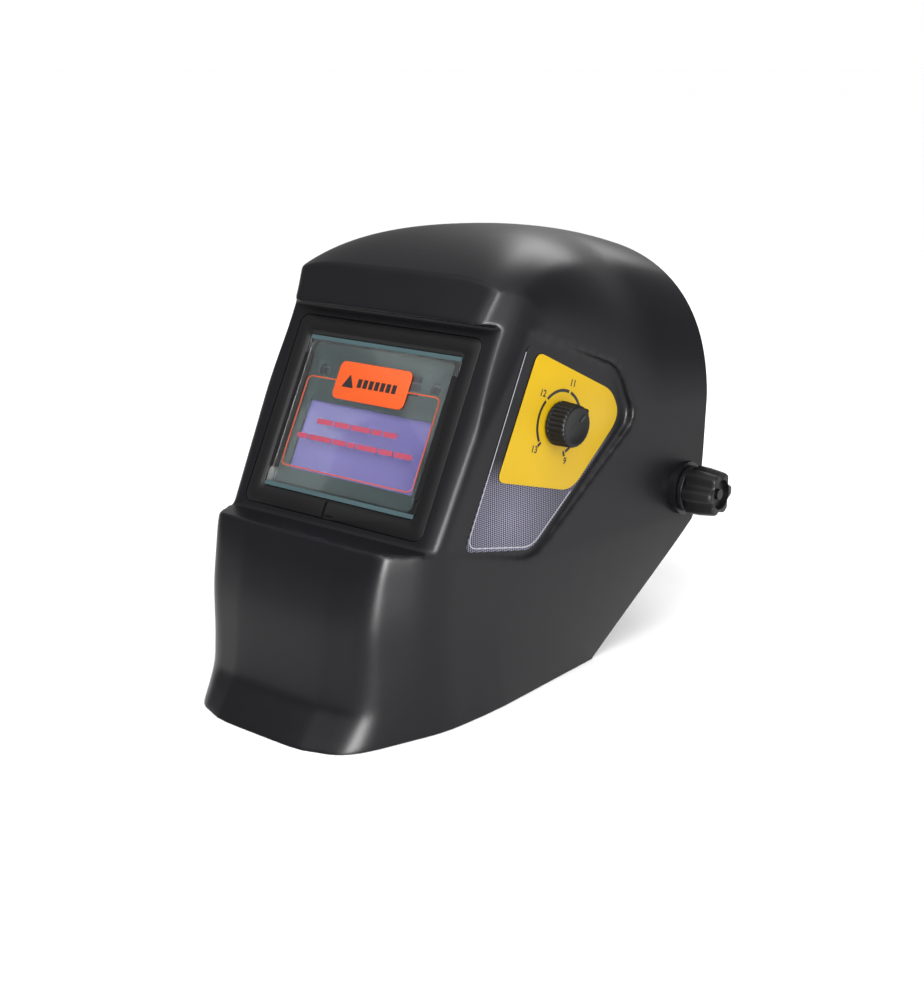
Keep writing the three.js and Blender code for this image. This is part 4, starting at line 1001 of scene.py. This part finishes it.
def makeSideKnobs():
    for side, hand in ((1, 'left'), (-1, 'right')):
        node, collar = 'tension_knob_' + hand, 'friction_washer_' + hand
        start, end = sideKnob["from"], sideKnob["from"] + sideKnob["long"]
        levels = [(0.6, start), (0.15, start + 0.3), (0, start + 0.9), (0.3, start + 9), (1.5, end - 2.2),
                  (1.8, end - 0.9), (2.4, end - 0.2), (3.2, end)]
        rings = [lobedRing(sideKnob["radius"] - back, sideKnob["waist"] - back * 0.9, side * x)
                 for back, x in levels]
        knob = loft('tensionKnob' + hand, rings)
        dish = rod('dish', sideKnob["recess"], side * (end - 3), side * (end + 1), pivot["y"], pivot["z"], 64)
        cut(dish, rod('centre', 3.4, side * (end - 4), side * (end - 0.8), pivot["y"], pivot["z"]))
        cut(knob, dish)
        cut(knob, rod('knobBore', 4.9, side * (start - 1), side * (end - 5), pivot["y"], pivot["z"]))
        finishPiece(knob, 'knobPlastic', node, slotOf[node], node, angle=32)
        x0, x1 = pivot["face"] + 0.3, pivot["face"] + 3.5
        profile = [(5.2, x0), (14.1, x0), (14.6, x0 + 0.5), (14.6, x1 - 0.5), (14.1, x1), (11.5, x1),
                   (11.2, x1 - 0.5), (9.6, x1 - 0.5), (9.3, x1), (5.2, x1)]
        rings = [[Vector((side * x, p.x, p.y)) for p in circle(pivot["y"], pivot["z"], r, 64)]
                 for r, x in profile]
        washer = loft('frictionWasher' + hand, rings, loop=True)
        finishPiece(washer, 'trimPlastic', bodyOf[collar], slotOf[collar], collar)
    print('knobs ready')


# ---------- headgear ----------

head = {"half": 84, "front": 88, "straightFrom": 150, "straightTo": 222, "rear": 281}
band = {"thick": 2, "height": 27, "middle": -33, "rise": 7}
rearStrap = {"thick": 1.8, "height": 17, "middle": -34, "drop": 32, "from": 197}
crown = {"top": 70, "width": 19, "thick": 1.8, "at": 176, "stud": 8}


def smoothStep(value, low, high):
    t = clamp((value - low) / (high - low))
    return t * t * (3 - 2 * t)


def stripSection(height, thick, edge):
    # outline of a strap's cross section, out and up
    h, t, soft = height / 2, thick / 2, edge * 0.3
    return [(t, h - edge), (t - soft, h - soft), (t - edge, h), (-t + edge, h), (-t + soft, h - soft),
            (-t, h - edge), (-t, -h + edge), (-t + soft, -h + soft), (-t + edge, -h), (t - edge, -h),
            (t - soft, -h + soft), (t, -h + edge)]


def strip(name, path, heightAt, height, thick, edge=0.6):
    rings = []
    for k, p in enumerate(path):
        along = heading(path, k)
        side = Vector((along.y, -along.x))
        z = heightAt(p)
        section = stripSection(height, thick, edge)
        rings.append([Vector((p.x + side.x * s, p.y + side.y * s, z + v)) for s, v in section])
    return loft(name, rings)


def oval(half, start, reach, startAngle, endAngle, steps, power=2.0):
    points = []
    for k in range(steps + 1):
        angle = math.radians(lerp(startAngle, endAngle, k / steps))
        c, s = math.cos(angle), math.sin(angle)
        x = math.copysign(half * abs(c) ** (2 / power), c)
        points.append(Vector((x, start + math.copysign(reach * abs(s) ** (2 / power), s))))
    return points


def bandHeightAt(p):
    return band["middle"] + band["rise"] * smoothStep(-p.y, -head["straightFrom"], -head["front"])


def rearHeightAt(y):
    return rearStrap["middle"] - rearStrap["drop"] * smoothStep(y, head["straightTo"], head["rear"] - 4)


def makeHeadBand():
    line = head["half"] + band["thick"] / 2
    path = [Vector((line, head["straightTo"])), Vector((line, 195)), Vector((line, 170))]
    reach = head["straightFrom"] - head["front"] + band["thick"] / 2
    path += oval(line, head["straightFrom"], reach, 0, -180, 72)
    path += [Vector((-line, 170)), Vector((-line, 195)), Vector((-line, head["straightTo"]))]
    piece = strip('headBand', path, bandHeightAt, band["height"], band["thick"])
    for side in (-1, 1):
        for y in (157, 176):
            cut(piece, rod('rivetHole', 2.4, side * 80, side * 94, y, band["middle"], 32))
        for y in (207, 214):                      # slots that the rear straps are adjusted in
            slot = []
            for k in range(24):
                a = k * math.tau / 24
                z = band["middle"] + (4 if math.sin(a) > 0 else -4) + math.sin(a) * 1.6
                slot.append(Vector((y + math.cos(a) * 1.6, z)))
            cut(piece, barAcross('bandSlot', slot, 2.5, side * line))
    finishPiece(piece, 'strapPlastic', 'headgear', slotOf["head_band"], 'head_band')


def makeCrown():
    for side, hand in ((1, 'left'), (-1, 'right')):
        layer = crown["thick"] + 0.3 if side > 0 else 0
        out = head["half"] + band["thick"] + 0.3 + crown["thick"] / 2
        foot = band["middle"] - band["height"] / 2 + 6
        path = [Vector((out, foot)), Vector((out, -30)), Vector((out, -22))]
        for k in range(61):
            angle = math.radians(104 * k / 60)
            x = (out + layer * math.sin(angle)) * math.cos(angle)
            path.append(Vector((x, (crown["top"] + layer) * math.sin(angle))))
        rings = []
        for k, p in enumerate(path):
            along = heading(path, k)
            across = Vector((along.y, -along.x))
            rings.append([Vector(((p.x + across.x * s) * side, crown["at"] + v, p.y + across.y * s))
                          for s, v in stripSection(crown["width"], crown["thick"], 0.5)])
        piece = loft('crownStrap' + hand, rings)
        cut(piece, rod('rivetHole', 2.4, side * 80, side * 94, crown["at"], band["middle"], 32))
        holes = [(-crown["stud"], 2.3), (crown["stud"], 2.3)] + [(side * x, 1.8) for x in (26, 36, 46)]
        for x, radius in holes:
            cut(piece, disc('studHole', radius, 30, 90, x, crown["at"], helmetPlace, 32))
        finishPiece(piece, 'strapPlastic', 'headgear', slotOf['crown_strap_' + hand], 'crown_strap_' + hand)


def makeRearStraps():
    line = head["half"] - 0.3 - rearStrap["thick"] / 2
    low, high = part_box("ratchet_housing")
    level = (low.z + high.z) / 2 / mm - home.z / mm
    for side, hand in ((1, 'left'), (-1, 'right')):
        node = 'rear_strap_' + hand
        path = [Vector((side * line, y)) for y in (rearStrap["from"], 205, 214)]
        reach = head["rear"] - 4 - head["straightTo"]
        path += [Vector((p.x * side, p.y)) for p in oval(line, head["straightTo"], reach, 0, 66, 40, 2.6)]
        last = path[-1]
        piece = strip('rearStrap' + hand, path, lambda p: rearHeightAt(p.y), rearStrap["height"],
                      rearStrap["thick"], 0.5)
        start, end, height = last.x + side * 1.5, -side * 30, 4.6
        middle = level + side * 6.9
        tongue = newBox('tongue', (min(start, end), last.y - 0.9, middle - height / 2),
                        (max(start, end), last.y + 0.9, middle + height / 2))
        teeth = []
        for k in range(16):
            x = -side * 20 + side * k * 2.6
            z = level + side * 4.6
            points = [(x + math.cos(a) * 1.1, z + side * math.sin(a) * 1.1)
                      for a in (math.pi / 2, math.pi * 7 / 6, math.pi * 11 / 6)]
            teeth.append(loft('tooth', [[Vector((px, last.y + d, pz)) for px, pz in points] for d in (-4, 4)]))
        for tooth in teeth:
            cut(tongue, tooth)
        cut(piece, tongue, 'UNION')
        finishPiece(piece, 'strapPlastic', bodyOf[node], slotOf[node], node)


def makeRatchetKnob():
    low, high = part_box("ratchet_knob")
    middle = (low + high) / 2
    start, end = low.y / mm - middle.y / mm, high.y / mm - middle.y / mm
    place = Matrix.Translation(middle)
    levels = [(24.2, 1.2, start), (25, 1.6, start + 0.8), (24.6, 1.8, end - 3), (23.6, 1.4, end - 1),
              (22.4, 0.6, end - 0.2), (21.4, 0, end),
              (13, 0, end), (12, 0, end - 0.6), (11.6, 0, end - 1.6), (3, 0, end - 1.6)]
    rings = []
    for radius, depth, y in levels:
        rings.append([Vector((p.x, y, p.y)) for p in ribbedRing(min(radius, 25), 16, depth, 10)])
    knob = loft('ratchetKnob', rings, place)
    rings = [[Vector((p.x, y, p.y)) for p in circle(0, 0, 3.3, 40)] for y in (start - 1, end - 3)]
    bore = loft('ratchetBore', rings, place)
    cut(knob, bore)
    finishPiece(knob, 'knobPlastic', 'ratchet_knob', slotOf["ratchet_knob"], 'ratchet_knob', angle=40)


# ---------- pads ----------

pads = {"sweat_band": (4.0, 5.0), "rear_pad": (4.0, 5.0)}   # remesh in millimetres, pressure
puff = {"in": 2.4, "out": 0.3}                             # how far a pad may swell


def makePad(node):
    # foam in fabric: the flat CAD shape is puffed up a little as cloth
    data = frame["nodes"][node].data.copy()
    data.materials.clear()
    piece = bpy.data.objects.new(node + 'Cushion', data)
    scene.collection.objects.link(piece)
    outward(piece)
    size, pressure = pads[node]
    apply(piece, 'REMESH', mode='VOXEL', voxel_size=size * 0.7 * mm)
    rest = [v.co.copy() for v in piece.data.vertices]
    pick(piece)
    cloth = piece.modifiers.new('Cloth', 'CLOTH')
    settings = cloth.settings
    settings.quality = 5
    settings.mass = 0.15
    settings.tension_stiffness = 12
    settings.compression_stiffness = 12
    settings.bending_stiffness = 0.4
    settings.use_pressure = True
    settings.uniform_pressure_force = pressure
    settings.effector_weights.gravity = 0
    cloth.point_cache.frame_start = 1
    cloth.point_cache.frame_end = 20
    for step in range(1, 21):
        scene.frame_set(step)
        bpy.context.view_layer.update()
    bpy.ops.object.modifier_apply(modifier=cloth.name)
    scene.frame_set(1)
    middle = home + Vector((0, 185, 0)) * mm      # inside the head ring; the pad swells towards it
    for vertex, start in zip(piece.data.vertices, rest):
        moved = vertex.co - start
        away = Vector((start.x - middle.x, start.y - middle.y, 0))
        limit = (puff["out"] if moved.dot(away) > 0 else puff["in"]) * mm
        if moved.length > limit:
            vertex.co = start + moved.normalized() * limit
    apply(piece, 'SMOOTH', factor=0.4, iterations=3)
    apply(piece, 'SUBSURF', levels=1)
    finishPiece(piece, 'foamCloth', bodyOf[node], slotOf[node], node, angle=80)


makeBezel()
makeGlass()
makeTab()
print('window ready')
makePanel()
makeShadeKnob()
makeSideKnobs()
makeHeadBand()
makeCrown()
makeRearStraps()
makeRatchetKnob()
print('headgear ready')
makeSoftNodes()
for padName in pads:
    makePad(padName)
print('pads ready')

# ---------- studio ----------

studio = {
    "camera": Vector((0.5698, -0.7244, 0.3655)), "azimuth": 38.69, "elevation": 16.59, "lens": 54,
    "seen": 1.0, "ambient": 0.34, "sky": 2.5}

# azimuth from the front towards the dial side, elevation, distance, width, height, watts, what it lights
softboxes = {
    "side": (78, 20, 1.35, 0.6, 1.0, 10.0, 'FILL'), "front": (22, 46, 1.5, 0.9, 0.8, 8.0, 'BOTH'),
    "back": (200, 35, 1.6, 0.8, 0.6, 7.0, 'BOTH'), "edge": (47, 12, 1.3, 0.22, 0.9, 22.0, 'SHINE'),
    "low": (50, -8, 0.6, 0.14, 0.2, 4.0, 'SHINE'), "roof": (10, 74, 1.3, 1.0, 0.8, 2.2, 'SHINE')}


def makeStudio():
    world = bpy.data.worlds.new('studio')
    world.use_nodes = True
    nodes, link = world.node_tree.nodes, world.node_tree.links.new
    back = nodes['Background']
    back.inputs['Color'].default_value = (1, 1, 1, 1)
    path = nodes.new('ShaderNodeLightPath')
    level = nodes.new('ShaderNodeMapRange')      # white to look at, dim as a light
    level.inputs['To Min'].default_value = studio["ambient"]
    level.inputs['To Max'].default_value = studio["seen"]
    link(path.outputs['Is Camera Ray'], level.inputs['Value'])
    link(level.outputs['Result'], back.inputs['Strength'])
    scene.world = world
    bpy.ops.mesh.primitive_plane_add(size=60, location=(0, 0, -0.0005))
    floor = bpy.context.object
    floor.name = 'studioFloor'
    material, nodes, link, shader = plainMaterial('studioFloor')
    shader.inputs['Base Color'].default_value = (0.95, 0.95, 0.95, 1)
    shader.inputs['Roughness'].default_value = 1.0
    shader.inputs['Specular IOR Level'].default_value = 0
    dress(floor, 'studioFloor')
    a, e = math.radians(studio["azimuth"]), math.radians(studio["elevation"])
    toCamera = Vector((math.sin(a) * math.cos(e), -math.cos(a) * math.cos(e), math.sin(e)))
    right = Vector((math.cos(a), math.sin(a), 0))
    up = toCamera.cross(right)
    camera = bpy.data.objects.new('camera', bpy.data.cameras.new('camera'))
    scene.collection.objects.link(camera)
    turn = Matrix((right, up, toCamera)).transposed().to_4x4()
    camera.matrix_world = Matrix.Translation(studio["camera"]) @ turn
    camera.data.lens = studio["lens"]
    camera.data.sensor_width = 36
    scene.camera = camera
    sky = bpy.data.objects.new('sky', bpy.data.lights.new('sky', 'SUN'))
    sky.data.energy = studio["sky"]
    sky.data.angle = math.radians(100)
    sky.rotation_euler = Vector((0.25, -0.45, 1)).to_track_quat('Z', 'Y').to_euler()
    scene.collection.objects.link(sky)
    for name, values in softboxes.items():
        softbox(name, *values)
    scene.view_settings.view_transform = 'Standard'


def softbox(name, azimuth, elevation, distance, width, height, power, kind):
    a, e = math.radians(azimuth), math.radians(elevation)
    away = Vector((math.sin(a) * math.cos(e), -math.cos(a) * math.cos(e), math.sin(e)))
    lamp = bpy.data.objects.new(name, bpy.data.lights.new(name, 'AREA'))
    lamp.data.shape = 'RECTANGLE'
    lamp.data.size = width
    lamp.data.size_y = height
    lamp.data.energy = power
    lamp.location = away * distance + Vector((0, 0, 0.2))
    lamp.visible_camera = False
    lamp.visible_diffuse = kind != 'SHINE'
    lamp.visible_glossy = kind != 'FILL'
    lamp.rotation_euler = away.to_track_quat('Z', 'Y').to_euler()
    scene.collection.objects.link(lamp)


makeStudio()
print('studio ready')
